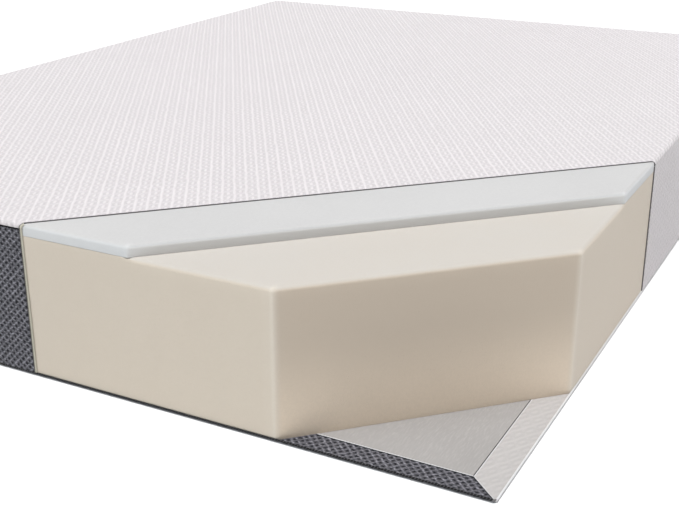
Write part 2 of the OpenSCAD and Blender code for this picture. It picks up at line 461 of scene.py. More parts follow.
def ripple(x: Array, y: Array, waves: Sequence[Tuple[float, float, float]]) -> Array:
    """Sum of slanting sine waves, between -1 and 1.

    Args:
        x: First coordinate.
        y: Second coordinate.
        waves: For each wave its length, its direction in degrees and its phase.

    Returns:
        The sum divided by the number of waves.
    """
    total = np.zeros(np.broadcast(x, y).shape)
    for length, degrees, phase in waves:
        turn = math.radians(degrees)
        total += np.sin(2 * math.pi * (x * math.cos(turn) + y * math.sin(turn)) / length + phase)
    return total / len(waves)


def edge_lines(low: float, high: float, radius: float, step: float, turns: int = 4) -> Array:
    """Grid lines between two edges, close together where a rounded edge bends.

    Within the radius the lines lie at radius times one minus the tangent of an even angle, so
    that they spread evenly round the bend once the edge is rounded.

    Args:
        low: First edge.
        high: Second edge.
        radius: Radius of both edges.
        step: Spacing elsewhere.
        turns: Lines within each bend.

    Returns:
        Increasing positions from low to high.
    """
    near = radius * (1 - np.tan(np.linspace(math.pi / 4, 0, turns)))
    count = max(2, int(round((high - low - 2 * radius) / step)) + 1)
    middle = np.linspace(low + radius, high - radius, count)
    return np.concatenate([low + near[:-1], middle, high - near[:-1][::-1]])


# ---------------------------------------------------------------------------------------------
# Finishes
# ---------------------------------------------------------------------------------------------


def set_span(node: bpy.types.Node, low: float, high: float, to_low: float, to_high: float) -> None:
    """Writes both spans of a Map Range node."""
    for key, number in zip(SPAN_KEYS, (low, high, to_low, to_high)):
        node.inputs[key].default_value = number


class Canvas:
    """A new material's nodes, added one at a time."""

    def __init__(self, name: str) -> None:
        """Starts a material with only its shader.

        Args:
            name: Name of the material.
        """
        self.material = bpy.data.materials.new(name)
        self.material.use_nodes = True
        self.tree = self.material.node_tree
        self.shader = self.tree.nodes["Principled BSDF"]

    def node(self, kind: str, settings: Optional[dict] = None, **inputs: Any) -> bpy.types.Node:
        """Adds a node.

        Args:
            kind: Blender's name for the node.
            settings: Properties to set on it.
            **inputs: Values or sockets for its inputs, spaces in their names as underscores.

        Returns:
            The node.
        """
        made = self.tree.nodes.new(kind)
        for key, value in (settings or {}).items():
            setattr(made, key, value)
        for key, value in inputs.items():
            self.put(made.inputs[key.replace("_", " ")], value)
        return made

    def put(self, socket: bpy.types.NodeSocket, value: Any) -> None:
        """Links a socket into an input, or writes a plain value there."""
        if isinstance(value, bpy.types.NodeSocket):
            self.tree.links.new(value, socket)
        else:
            socket.default_value = value

    def math(self, operation: str, *terms: Any) -> bpy.types.NodeSocket:
        """Adds a Math node and returns its result."""
        made = self.tree.nodes.new("ShaderNodeMath")
        made.operation = operation
        for socket, term in zip(made.inputs, terms):
            self.put(socket, term)
        return made.outputs[0]

    def along(self, u: Any, v: Any, degrees: float, pitch: float, phase: float = 0.0) -> Any:
        """Distance across slanting lines in turns of their pitch, times two pi.

        Args:
            u: First coordinate.
            v: Second coordinate.
            degrees: Direction across the lines.
            pitch: Distance between lines.
            phase: Added angle.

        Returns:
            The angle's socket.
        """
        turn = 2 * math.pi / pitch
        across = self.math("MULTIPLY", u, turn * math.cos(math.radians(degrees)))
        return self.math("MULTIPLY_ADD", v, turn * math.sin(math.radians(degrees)),
                         self.math("ADD", across, phase))

    def split(self, vector: Any) -> Tuple[Any, Any, Any]:
        """The three coordinates of a vector."""
        return tuple(self.node("ShaderNodeSeparateXYZ", Vector=vector).outputs)

    def metres(self) -> Tuple[Any, Any, Any]:
        """The two coordinates of the piece's own UV map, then both as one vector."""
        u, v, _ = self.split(self.node("ShaderNodeUVMap", {"uv_map": UV_NAME}).outputs["UV"])
        return u, v, self.node("ShaderNodeCombineXYZ", X=u, Y=v).outputs[0]

    def position(self) -> bpy.types.NodeSocket:
        """Object coordinates, which are the frame's own metres."""
        return self.node("ShaderNodeTexCoord").outputs["Object"]

    def facing(self) -> Tuple[Any, Any, Any]:
        """The three parts of the direction that the surface faces."""
        return self.split(self.node("ShaderNodeTexCoord").outputs["Normal"])

    def stretch(self, place: Any, scale: Tuple[float, float, float], turn: float = 0.0) -> Any:
        """A place turned about the upright axis and stretched along each axis."""
        return self.node("ShaderNodeMapping", Vector=place, Rotation=(0.0, 0.0, turn),
                         Scale=scale).outputs[0]

    def noise(self, vector: Any, scale: float, detail: float = 3.0, rough: float = 0.5) -> Any:
        """Smooth noise between about 0.3 and 0.7."""
        return self.node("ShaderNodeTexNoise", Vector=vector, Scale=scale, Detail=detail,
                         Roughness=rough).outputs[0]

    def stray(self, place: Any, scale: float, amount: float) -> bpy.types.NodeSocket:
        """Noise around 0 that strays by up to about a fifth of the amount."""
        centred = self.math("SUBTRACT", self.noise(place, scale, 2.0), 0.5)
        return self.math("MULTIPLY", centred, amount)

    def bands(self, place: Any, scale: float, direction: str = "DIAGONAL", **inputs: float) -> Any:
        """Fine bands, such as the turns of a twisted thread."""
        return self.node("ShaderNodeTexWave", {"wave_type": "BANDS", "bands_direction": direction},
                         Vector=place, Scale=scale, **inputs).outputs[1]

    def swell(self, angle: Any) -> bpy.types.NodeSocket:
        """Half of one plus the sine of an angle."""
        return self.math("MULTIPLY_ADD", self.math("SINE", angle), 0.5, 0.5)

    def ramp(self, value: Any, low: float, high: float, to_low: float, to_high: float) -> Any:
        """Carries a value from one span to another, with soft clamped ends."""
        made = self.node("ShaderNodeMapRange", {"interpolation_type": "SMOOTHSTEP"}, Value=value)
        set_span(made, low, high, to_low, to_high)
        return made.outputs[0]

    def mix(self, factor: Any, first: Colour, second: Any) -> bpy.types.NodeSocket:
        """Mixes two colours, each a triple or a socket."""
        made = self.tree.nodes.new("ShaderNodeMix")
        made.data_type = "RGBA"
        self.put(made.inputs[0], factor)
        for socket, colour in ((made.inputs[6], first), (made.inputs[7], second)):
            self.put(socket, colour if isinstance(colour, bpy.types.NodeSocket) else (*colour, 1.0))
        return made.outputs[2]

    def bump(self, height: Any, distance: float, strength: float = 1.0, under: Any = None) -> Any:
        """Bump from a height between 0 and 1, distance in metres, on top of another bump."""
        made = self.node("ShaderNodeBump", Height=height, Distance=distance, Strength=strength)
        if under is not None:
            self.put(made.inputs["Normal"], under)
        return made.outputs[0]

    def finish(
        self, colour: Any, roughness: Any, normal: Any = None, **constants: float
    ) -> Material:
        """Feeds the shader and gives the material back.

        Args:
            colour: Socket or triple for the base colour.
            roughness: Socket or number.
            normal: Socket of the last bump.
            **constants: Plain numbers for further shader sockets.

        Returns:
            The finished material.
        """
        plain = not isinstance(colour, bpy.types.NodeSocket)
        self.put(self.shader.inputs["Base Color"], (*colour, 1.0) if plain else colour)
        self.put(self.shader.inputs["Roughness"], roughness)
        if normal is not None:
            self.put(self.shader.inputs["Normal"], normal)
        for key, number in constants.items():
            self.shader.inputs[key.replace("_", " ")].default_value = number
        return self.material


@dataclass(frozen=True)
class KnitFinish:
    """White double knit: raised ridges that cross in diamonds, with a row of dots midway."""

    name: str = "knit"
    colour: Colour = (0.662, 0.622, 0.626)
    # Darker colour of the low parts: painted shade in the valleys, and also the dark end of a faint
    # random mottle.
    valley: Colour = (0.522, 0.488, 0.495)
    pitch: float = 0.0191
    lean_deg: float = 57.2
    raised: float = 0.0013
    ridge_tops: Tuple[float, float] = (0.80, 0.36)
    narrow: float = 5.0
    bead: float = 0.11
    # Painted shade: factor that darkens the colour where the cloth stands upright.
    upright_shade: float = 0.84
    side_calm: float = 0.10

    def material(self) -> Material:
        """Builds the knit.

        A ridge is half of one plus the cosine across it, to the fifth power, so that it is
        narrow between wide valleys. The second set of ridges is lower. Rows of dots run midway
        between the first ridges, highest in the middle of each diamond. The height is the
        highest of the three, less a small product of the doubled first wave and the second,
        which breaks the ridges into beads. Yarn and fuzz go on top. The colour runs from the
        valley colour in the low parts to the full colour on the ridges, which is painted shade in
        the valleys. Where the cloth stands upright it is stretched over the side, so its ridges
        are lower, and there its colour is darkened as painted shade.

        Returns:
            The material.
        """
        c = Canvas(self.name)
        u, v, place = c.metres()
        sway = c.stray(place, 45.0, 1.5)
        angles = [c.along(u, v, sign * self.lean_deg, self.pitch) for sign in (-1, 1)]
        waves = [c.math("COSINE", c.math("ADD", angle, sway)) for angle in angles]
        highs = [c.math("MULTIPLY_ADD", wave, 0.5, 0.5) for wave in waves]
        lows = [c.math("MULTIPLY_ADD", wave, -0.5, 0.5) for wave in waves]
        ridges = [c.math("MULTIPLY", c.math("POWER", high, self.narrow), top)
                  for high, top in zip(highs, self.ridge_tops)]
        spread = c.math("MULTIPLY_ADD", c.math("POWER", lows[1], 2.0), 0.65, 0.35)
        dots = c.math("MULTIPLY", c.math("POWER", lows[0], self.narrow), spread)
        double = c.math("MULTIPLY_ADD", c.math("MULTIPLY", waves[0], waves[0]), 2.0, -1.0)
        beads = c.math("MULTIPLY", double, waves[1])
        puff = c.math("MAXIMUM", c.math("MAXIMUM", *ridges), dots)
        puff = c.math("MULTIPLY_ADD", beads, -self.bead, puff)
        yarn = c.bands(place, 260.0, "X", Distortion=3.0, Detail=2.0, Detail_Scale=6.0)
        uneven = c.noise(place, 120.0, 4.0)
        fuzz = c.noise(place, 900.0, 2.0)
        upright = c.ramp(c.math("ABSOLUTE", c.facing()[2]), 0.1, 0.95, 1.0, 0.0)
        full = c.math("MULTIPLY_ADD", upright, -self.side_calm, 1.0)
        puff = c.math("MULTIPLY_ADD", c.math("SUBTRACT", puff, 0.3), full, 0.3)
        height = c.math("MULTIPLY_ADD", uneven, 0.5, puff)
        normal = c.bump(fuzz, 0.00012, 0.6, c.bump(yarn, 0.00018, 0.7, c.bump(height, self.raised)))
        patchy = c.math("MULTIPLY_ADD", c.math("SUBTRACT", uneven, 0.5), 0.5, puff)
        shade = c.ramp(patchy, 0.0, 0.8, 0.0, 1.0)
        # Painted shade: the low parts of the knit run to the darker valley colour.
        tone = c.mix(shade, self.valley, self.colour)
        tone = c.mix(c.ramp(c.noise(place, 5.0), 0.35, 0.65, 0.0, 0.12), tone, self.valley)
        # Painted shade: upright cloth is darkened by the upright factor.
        tone = c.mix(upright, tone, c.mix(self.upright_shade, (0.0, 0.0, 0.0), tone))
        rough = c.ramp(shade, 0.0, 1.0, 0.95, 0.82)
        return c.finish(tone, rough, normal,
                        Sheen_Weight=0.25, Sheen_Roughness=0.5, Specular_IOR_Level=0.2)


@dataclass(frozen=True)
class MeshFinish:
    """Dark spacer mesh: grey threads that cross on the slant around staggered dark holes."""

    thread: Colour = (0.032, 0.031, 0.038)
    # Colour of the threads' painted highlight.
    thread_highlight: Colour = (0.252, 0.247, 0.280)
    hole: Colour = (0.002, 0.002, 0.006)
    pitch: float = 0.0121
    hole_half: Tuple[float, float] = (0.0027, 0.0026)
    ragged: float = 2.0
    wander: float = 0.0062
    raised: float = 0.0014

    def material(self) -> Material:
        """Builds the mesh cloth.

        Each hole is an oval around a point of a staggered grid: the smaller of the oval distances
        to two square grids, the second moved by half a pitch both ways. Threads take a painted
        highlight where a slanting wave peaks, in broken lengths, and those that rise to the right
        are stronger.

        Returns:
            The material.
        """
        c = Canvas("mesh")
        u, v, place = c.metres()
        half_pitch = self.pitch / 2
        ovals = []
        for shift in (0.0, half_pitch):
            terms = []
            for socket, half, drift in ((u, self.hole_half[0], 75.0), (v, self.hole_half[1], 95.0)):
                wander = c.math("ADD", c.stray(place, drift, self.wander), shift)
                wrapped = c.math("WRAP", c.math("ADD", socket, wander), half_pitch, -half_pitch)
                scaled = c.math("DIVIDE", wrapped, half)
                terms.append(c.math("MULTIPLY", scaled, scaled))
            ovals.append(c.math("SQRT", c.math("ADD", *terms)))
        away = c.math("ADD", c.math("MINIMUM", *ovals), c.stray(place, 330.0, self.ragged))
        solid = c.ramp(away, 0.35, 1.30, 0.0, 1.0)
        step = self.pitch / math.sqrt(2)
        jitter = c.stray(place, 150.0, 3.0)
        rising, falling = (
            c.math("COSINE", c.math("ADD", c.along(u, v, degrees, step, math.pi), jitter))
            for degrees in (-45.0, 45.0)
        )
        crossed = c.math("MAXIMUM", rising, c.math("MULTIPLY", falling, 0.75))
        lines = c.ramp(crossed, 0.2, 1.0, 0.0, 1.0)
        drawn = c.stretch(place, (130.0, 420.0, 1.0), math.radians(-45))
        strands = c.ramp(c.noise(drawn, 1.0, 3.0, 0.6), 0.44, 0.62, 0.0, 1.0)
        twist = c.bands(place, 420.0, Distortion=2.0, Detail=1.0)
        parts = [c.math("MULTIPLY_ADD", part, 0.8, 0.2) for part in (lines, strands)]
        # Painted highlight on the threads, in broken slanting lengths.
        glint = c.math("MULTIPLY", *parts)
        tone = c.mix(solid, self.hole, c.mix(glint, self.thread, self.thread_highlight))
        height = c.math("MULTIPLY", solid, c.math("MULTIPLY_ADD", glint, 0.5, 0.5))
        normal = c.bump(twist, 0.0002, 0.5, c.bump(height, self.raised))
        return c.finish(tone, c.ramp(solid, 0.0, 1.0, 0.95, 0.70), normal,
                        Sheen_Weight=0.1, Sheen_Roughness=0.5, Specular_IOR_Level=0.25)


@dataclass(frozen=True)
class FeltFinish:
    """Pressed grey lining with short fibres lying every way."""

    colour: Colour = (0.284, 0.271, 0.262)
    fibre: Colour = (0.388, 0.371, 0.360)

    def material(self) -> Material:
        """Builds the lining from stretched noise in two directions over fine noise."""
        c = Canvas("felt")
        place = c.position()
        strands = [c.noise(c.stretch(place, (60.0, 420.0, 60.0), turn), 1.0, 3.0, 0.6)
                   for turn in (0.5, -0.9)]
        fibres = c.math("MAXIMUM", *strands)
        grain = c.noise(place, 700.0, 2.0)
        tone = c.mix(c.ramp(fibres, 0.48, 0.75, 0.0, 0.4), self.colour, self.fibre)
        tone = c.mix(c.ramp(c.noise(place, 9.0), 0.35, 0.65, 0.0, 0.12), tone, self.fibre)
        normal = c.bump(grain, 0.0002, 0.4, c.bump(fibres, 0.0004, 0.5))
        return c.finish(tone, c.ramp(grain, 0.3, 0.7, 0.85, 0.97), normal, Specular_IOR_Level=0.2)


@dataclass(frozen=True)
class FoamFinish:
    """Open cell foam: a pale skin and warmer cut faces, their tones partly painted light and shade,
    fine pores, and a painted highlight along the upright edges.
    """

    name: str
    skin: Colour
    side: Colour
    cut: Colour
    # Paler colour of the painted highlight along the upright edges.
    edge: Colour
    pore: float = 0.0011
    depth: float = 0.0003
    marks: float = 0.0
    # Painted light low on the slanting cut: its strength, its colour and the height where it fades
    # out.
    painted_low_light: float = 0.0
    glow: Colour = (1.0, 0.84, 0.66)
    painted_light_height: float = 0.16
    pit: Colour = (0.30, 0.26, 0.21)

    def material(self) -> Material:
        """Builds the foam from cell noise for the pores and stretched noise for the blade marks.

        The top is skin, the outer sides are sawn, and the slanting face over the opened corner is
        the fresh cut. Their tones differ partly for that and partly as painted light and shade, set
        face by face to the brightness each face should show. The fresh cut is painted paler towards
        the underside, painted light that stands in for the light its lower part lacks.

        Returns:
            The material.
        """
        c = Canvas(self.name)
        place = c.position()
        cells = c.node("ShaderNodeTexVoronoi", Vector=place, Scale=1.0 / self.pore).outputs[0]
        large = c.node("ShaderNodeTexVoronoi", Vector=place, Scale=1.0 / (self.pore * 7)).outputs[0]
        pits = c.math("MULTIPLY", c.ramp(large, 0.0, 0.16, 0.0, 1.0),
                      c.ramp(cells, 0.0, 0.55, 0.3, 1.0))
        x, y, z = c.facing()
        flat = c.ramp(c.math("ABSOLUTE", z), 0.35, 0.95, 0.0, 1.0)
        across = c.math("MULTIPLY", c.math("ADD", x, y), -math.sqrt(0.5))
        slant = c.ramp(across, 0.80, 0.98, 0.0, 1.0)
        # Each way a face looks takes its own tone: partly the foam's skin and cut, and partly painted
        # light and shade set face by face.
        tone = c.mix(flat, c.mix(slant, self.side, self.cut), self.skin)
        # Painted light: the slanting cut pales towards the underside, standing in for light that its
        # lower part lacks.
        low = c.ramp(c.split(place)[2], 0.0, self.painted_light_height, self.painted_low_light, 0.0)
        tone = c.mix(c.math("MULTIPLY", low, slant), tone, self.glow)
        # Painted highlight: upright edges run to the paler edge colour.
        lightened = c.node("ShaderNodeAttribute", {"attribute_name": EDGE_NAME}).outputs["Fac"]
        tone = c.mix(c.math("MULTIPLY", lightened, 0.75), tone, self.edge)
        mottle = c.ramp(c.noise(place, 6.0, 4.0), 0.32, 0.68, 0.0, 0.10)
        grain = c.ramp(c.noise(place, 260.0, 3.0), 0.35, 0.65, 0.0, 0.10)
        tone = c.mix(c.math("ADD", mottle, grain), tone, self.cut)
        tone = c.mix(c.ramp(pits, 0.0, 1.0, 0.12, 0.0), tone, self.pit)
        normal = c.bump(pits, self.depth, 0.8)
        if self.marks > 0:
            drawn = c.noise(c.stretch(place, (2.0, 2.0, 170.0)), 1.0)
            normal = c.bump(drawn, self.marks, 0.5, normal)
        return c.finish(tone, c.ramp(pits, 0.0, 1.0, 0.98, 0.88), normal,
                        Sheen_Weight=0.08, Sheen_Roughness=0.6, Specular_IOR_Level=0.15)


@dataclass(frozen=True)
class ThreadFinish:
    """Spun sewing thread: a fine slanting twist with stray fibres."""

    name: str
    colour: Colour
    deep: Colour
    rough: float = 0.7
    fuzz: float = 0.1
    shine: float = 0.25

    def material(self) -> Material:
        """Builds the thread from a tight wave over the object's own coordinates."""
        c = Canvas(self.name)
        place = c.position()
        twist = c.bands(place, 520.0, Distortion=1.5, Detail=1.0)
        hair = c.noise(place, 1400.0, 2.0)
        light = c.math("MULTIPLY_ADD", hair, 0.4, c.math("MULTIPLY", twist, 0.6))
        rough = c.ramp(hair, 0.3, 0.7, self.rough - 0.08, self.rough + 0.12)
        return c.finish(c.mix(light, self.deep, self.colour), rough, c.bump(twist, 0.0002, 0.6),
                        Sheen_Weight=self.fuzz, Specular_IOR_Level=self.shine)


@dataclass(frozen=True)
class TapeFinish:
    """Woven zip tape with a fine herringbone."""

    colour: Colour = (0.030, 0.030, 0.034)
    pale: Colour = (0.075, 0.075, 0.085)
    rib: float = 0.0016
    pitch: float = 0.0009

    def material(self) -> Material:
        """Builds the tape: slanting lines that turn back at every rib."""
        c = Canvas("zip_tape")
        _, y, z = c.split(c.position())
        zigzag = c.math("PINGPONG", z, self.rib)
        weave = c.swell(c.math("MULTIPLY", c.math("ADD", y, zigzag), 2 * math.pi / self.pitch))
        tone = c.mix(weave, self.colour, self.pale)
        return c.finish(tone, c.ramp(weave, 0.0, 1.0, 0.9, 0.7), c.bump(weave, 0.00015),
                        Specular_IOR_Level=0.3)


@dataclass(frozen=True)
class HardFinish:
    """Coated metal or nylon: faint scratches and high spots worn pale."""

    name: str
    colour: Colour
    lightened: Colour
    metallic: float
    rough: float

    def material(self) -> Material:
        """Builds the coating with fine scratches in its roughness and a soft cast surface."""
        c = Canvas(self.name)
        place = c.position()
        cast = c.noise(place, 420.0, 2.0)
        scratch = c.noise(c.stretch(place, (2500.0, 220.0, 2500.0)), 1.0, 2.0)
        tone = c.mix(c.ramp(scratch, 0.55, 0.80, 0.0, 0.25), self.colour, self.lightened)
        rough = c.ramp(scratch, 0.35, 0.65, self.rough - 0.08, self.rough + 0.12)
        return c.finish(tone, rough, c.bump(cast, 0.00003, 0.3), Metallic=self.metallic)


@dataclass(frozen=True)
class LabelFinish:
    """Plain woven satin label."""

    colour: Colour = (0.82, 0.82, 0.79)
    shaded: Colour = (0.66, 0.66, 0.63)
    warp_pitch: float = 0.0006
    weft_pitch: float = 0.0009

    def material(self) -> Material:
        """Builds the label's satin from fine crossing waves."""
        c = Canvas("label")
        u, v, place = c.metres()
        warp = c.swell(c.math("MULTIPLY", u, 2 * math.pi / self.warp_pitch))
        weft = c.swell(c.math("MULTIPLY", v, 2 * math.pi / self.weft_pitch))
        weave = c.math("MULTIPLY", warp, weft)
        shade = c.math("MULTIPLY_ADD", c.noise(place, 80.0), 0.3, c.math("MULTIPLY", weave, 0.4))
        tone = c.mix(shade, self.colour, self.shaded)
        return c.finish(tone, c.ramp(weave, 0.0, 1.0, 0.45, 0.65), c.bump(weave, 0.0001, 0.6))


@dataclass(frozen=True)
class FloorFinish:
    """Plain pale studio floor."""

    colour: Colour = (0.82, 0.82, 0.82)
    mottle: Colour = (0.80, 0.80, 0.80)

    def material(self) -> Material:
        """Builds the floor with a barely mottled tone."""
        c = Canvas("floor")
        patches = c.ramp(c.noise(c.position(), 1.5), 0.3, 0.7, 0.0, 0.03)
        tone = c.mix(patches, self.colour, self.mottle)
        return c.finish(tone, 0.9, None, Specular_IOR_Level=0.1)


@dataclass
class Wardrobe:
    """Every finish of the mattress, built once."""

    knit: Material = field(default_factory=KnitFinish().material)
    # The knit's back on the turned-under strips: its colours are darkened as painted shade of the
    # opened corner, and its ridges are low.
    knit_back_shaded: Material = field(default_factory=KnitFinish(
        "knit_back_shaded", (0.424, 0.402, 0.392), (0.384, 0.364, 0.355), raised=0.0005).material)
    mesh: Material = field(default_factory=MeshFinish().material)
    felt: Material = field(default_factory=FeltFinish().material)
    # Foam tones of top, sides and slanting cut are set face by face, partly as painted light and
    # shade. The edge colour is a painted highlight, and the cut is painted paler low down as painted
    # light.
    base: Material = field(default_factory=FoamFinish(
        "base_foam_cells", skin=(0.486, 0.457, 0.421), side=(0.526, 0.466, 0.392),
        cut=(0.488, 0.418, 0.342), edge=(0.610, 0.560, 0.490),
        marks=0.00025, painted_low_light=0.44).material)
    memory: Material = field(default_factory=FoamFinish(
        "memory_foam_cells", skin=(0.464, 0.456, 0.452), side=(0.512, 0.518, 0.522),
        cut=(0.585, 0.580, 0.570), edge=(0.565, 0.566, 0.566),
        pore=0.0008, depth=0.00015).material)
    dark: Material = field(default_factory=ThreadFinish(
        "dark_thread", (0.014, 0.014, 0.016), (0.004, 0.004, 0.005),
        rough=0.85, fuzz=0.02, shine=0.08).material)
    grey: Material = field(default_factory=ThreadFinish(
        "grey_thread", (0.19, 0.183, 0.183), (0.10, 0.096, 0.096)).material)
    # Lining edge: a pale colour darkened to olive, partly as painted shade of the rolled edge.
    lining: Material = field(default_factory=ThreadFinish(
        "lining_edge_shaded", (0.500, 0.475, 0.400), (0.40, 0.38, 0.31), rough=0.85).material)
    pale: Material = field(default_factory=ThreadFinish(
        "pale_thread", (0.74, 0.73, 0.73), (0.52, 0.51, 0.52)).material)
    tape: Material = field(default_factory=TapeFinish().material)
    coil: Material = field(default_factory=HardFinish(
        "zip_nylon", (0.022, 0.022, 0.025), (0.06, 0.06, 0.065), metallic=0.0, rough=0.35).material)
    metal: Material = field(default_factory=HardFinish(
        "zip_coated_metal", (0.055, 0.055, 0.06), (0.32, 0.32, 0.33),
        metallic=0.85, rough=0.34).material)
    label: Material = field(default_factory=LabelFinish().material)


def dress(
    piece: Piece, material: Material, slot: str, nodes: Sequence[str] = (),
    second: Optional[Material] = None,
) -> Piece:
    """Gives a piece its finish and its body, and hides the frame nodes that it stands for.

    Args:
        piece: The piece.
        material: Its finish.
        slot: Name of a material slot, which is only logged.
        nodes: Frame nodes that it replaces.
        second: Finish of its stitches, where it has any.

    Returns:
        The same piece.
    """
    piece.data.materials.append(material)
    if second is not None:
        piece.data.materials.append(second)
    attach(piece, BODY)
    if nodes:
        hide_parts(*nodes)
    log.info("%s: %d faces, slot %s", piece.name, len(piece.data.polygons), slot)
    return piece


# ---------------------------------------------------------------------------------------------
# Foam
# ---------------------------------------------------------------------------------------------


@dataclass
class FoamBlock:
    """A foam slab with one corner cut off on the slant and every edge softened."""

    name: str
    low: Array
    high: Array
    corner: Tuple[float, float]
    cut: float
    radius: float
    covered: float
    step: float = 0.014
    crisp: float = 0.88
    unevenness: float = 0.0002
    pocket: Optional[Tuple[float, float, float, float]] = None

    def corners(self, inset: float) -> Array:
        """Corner points of the plan, moved in by a distance, counterclockwise.

        Args:
            inset: Distance from the true outline.

        Returns:
            Five points.
        """
        x0, y0 = self.low[0] + inset, self.low[1] + inset
        x1, y1 = self.high[0] - inset, self.high[1] - inset
        total = self.corner[0] + self.corner[1] + self.cut + inset * math.sqrt(2)
        return np.array([[total - y0, y0], [x1, y0], [x1, y1], [x0, y1], [x0, total - x0]])

    def soften(self, points: Array) -> Array:
        """Rounds the edges: a point moves to one radius from the slab shrunk by that radius.

        Level edges that lie on or under another layer stay almost sharp, so there a point moves
        mostly to the slab that is rounded in plan only.

        Args:
            points: Points on the sharp edged slab.

        Returns:
            Points on the rounded slab.
        """
        inner = self.corners(self.radius)
        plan = points[:, :2]
        best = np.full(len(plan), np.inf)
        near = plan.copy()
        inside = np.ones(len(plan), dtype=bool)
        for start, stop in zip(inner, np.roll(inner, -1, axis=0)):
            edge = stop - start
            rel = plan - start
            t = np.clip(rel @ edge / (edge @ edge), 0, 1)
            foot = start + t[:, None] * edge
            gap = np.linalg.norm(plan - foot, axis=1)
            closer = gap < best
            best = np.where(closer, gap, best)
            near = np.where(closer[:, None], foot, near)
            inside &= edge[0] * rel[:, 1] - edge[1] * rel[:, 0] >= 0
        near = np.where(inside[:, None], plan, near)
        z = np.clip(points[:, 2], self.low[2] + self.radius, self.high[2] - self.radius)
        core = np.column_stack([near, z])
        full = core + self.radius * unit(points - core)
        level_gap = np.linalg.norm(plan - near, axis=1, keepdims=True)
        pulled = np.minimum(1, self.radius / np.maximum(level_gap, TINY))
        prism = points.copy()
        prism[:, :2] = near + (plan - near) * pulled
        sharp = np.where(points[:, 2] < z, self.crisp, 0.0)
        past = plan.sum(axis=1) - self.corner[0] - self.corner[1] - self.covered
        sharp = np.where(points[:, 2] > z, self.crisp * smooth_step(past, -0.004, 0.004), sharp)
        return full + (prism - full) * sharp[:, None]

    def plan_grid(self) -> Array:
        """Grid over the plan, whose rows start on the foot edge or on the cut."""
        lines_x = edge_lines(self.low[0], self.high[0], self.radius, self.step)
        lines_y = edge_lines(self.low[1], self.high[1], self.radius, self.step)
        kink = self.corner[0] + self.corner[1] + self.cut - self.low[0]
        bend = self.radius * np.array([-1.0, -0.6, -0.3, 0.0, 0.3, 0.6, 1.0])
        kept = lines_y[np.abs(lines_y - kink) > self.radius * 1.4]
        lines_y = np.sort(np.concatenate([kept, kink + bend]))
        start = np.maximum(self.low[0], kink + self.low[0] - lines_y)
        share = (lines_x - self.low[0]) / (self.high[0] - self.low[0])
        x = start[:, None] + (self.high[0] - start)[:, None] * share[None, :]
        return np.stack([x, np.broadcast_to(lines_y[:, None], x.shape)], -1)

    def heights(self) -> Array:
        """Levels of the side rings, from the top down, close together at the edges."""
        return edge_lines(self.low[2], self.high[2], self.radius, self.step)[::-1][1:-1]

    def dent(self, points: Array) -> Array:
        """Presses the head end in behind the zip, fading out above, below and past its ends."""
        if self.pocket is None:
            return points
        z, half_z, half_y, depth = self.pocket
        head = self.high[0]
        mask = 1 - smooth_step(np.abs(points[:, 2] - z), half_z, half_z + 0.010)
        mask *= 1 - smooth_step(np.abs(points[:, 1]), half_y, half_y + 0.012)
        mask *= smooth_step(points[:, 0], head - depth * 2.5, head - self.radius)
        moved = points.copy()
        moved[:, 0] -= depth * mask
        return moved

    def build(self) -> Piece:
        """Makes the closed slab: a top grid, a bottom grid and rings between their rims.

        The sides are a little uneven, as a saw leaves them.

        Returns:
            The piece.
        """
        plan = self.plan_grid()
        rows, cols = plan.shape[:2]
        flat = plan.reshape(-1, 2)
        count = len(flat)
        loop = rim_loop(rows, cols)
        levels = self.heights()
        top = np.column_stack([flat, np.full(count, self.high[2])])
        bottom = np.column_stack([flat, np.full(count, self.low[2])])
        sides = np.column_stack([np.tile(flat[loop], (len(levels), 1)),
                                 np.repeat(levels, len(loop))])
        ring_index = 2 * count + np.arange(len(levels) * len(loop)).reshape(len(levels), len(loop))
        ring_index = np.concatenate([loop[None], ring_index, loop[None] + count])
        nxt = np.roll(ring_index, -1, axis=1)
        walls = np.stack([ring_index[:-1], ring_index[1:], nxt[1:], nxt[:-1]], -1).reshape(-1, 4)
        front = grid_quads(rows, cols)
        quads = np.concatenate([front, front[:, ::-1] + count, walls])
        points = self.soften(np.concatenate([top, bottom, sides]))
        wave = ripple(points[:, 0] + 0.7 * points[:, 2], points[:, 1] - 0.5 * points[:, 2],
                      [(0.31, 20, 0.3), (0.23, 75, 1.9), (0.17, 130, 4.0)])
        level = smooth_step(points[:, 2], self.low[2], self.low[2] + 0.02)
        middle = (self.low + self.high) / 2
        outward = unit(points[:, :2] - middle[:2])
        side = smooth_step(np.abs(points[:, 2] - middle[2]), self.high[2] - middle[2], 0.0)
        points[:, :2] -= outward * (side * level * (wave + 1) * self.unevenness)[:, None]
        piece = make_piece(self.name, self.dent(points), quads, sharp_deg=60)
        # Mask for the painted highlight along the upright edges.
        lightened = piece.data.attributes.new(EDGE_NAME, "FLOAT", "POINT")
        lightened.data.foreach_set("value", self.lightened(points).astype(np.float32))
        return piece

    def lightened(self, points: Array) -> Array:
        """1 along the middle of an upright edge, fading to 0 beyond its rounding: the mask of the
        foam's painted edge highlight.
        """
        gaps = np.linalg.norm(points[:, None, :2] - self.corners(0.3 * self.radius)[None], axis=2)
        return np.exp(-((gaps.min(axis=1) / (0.75 * self.radius)) ** 2))


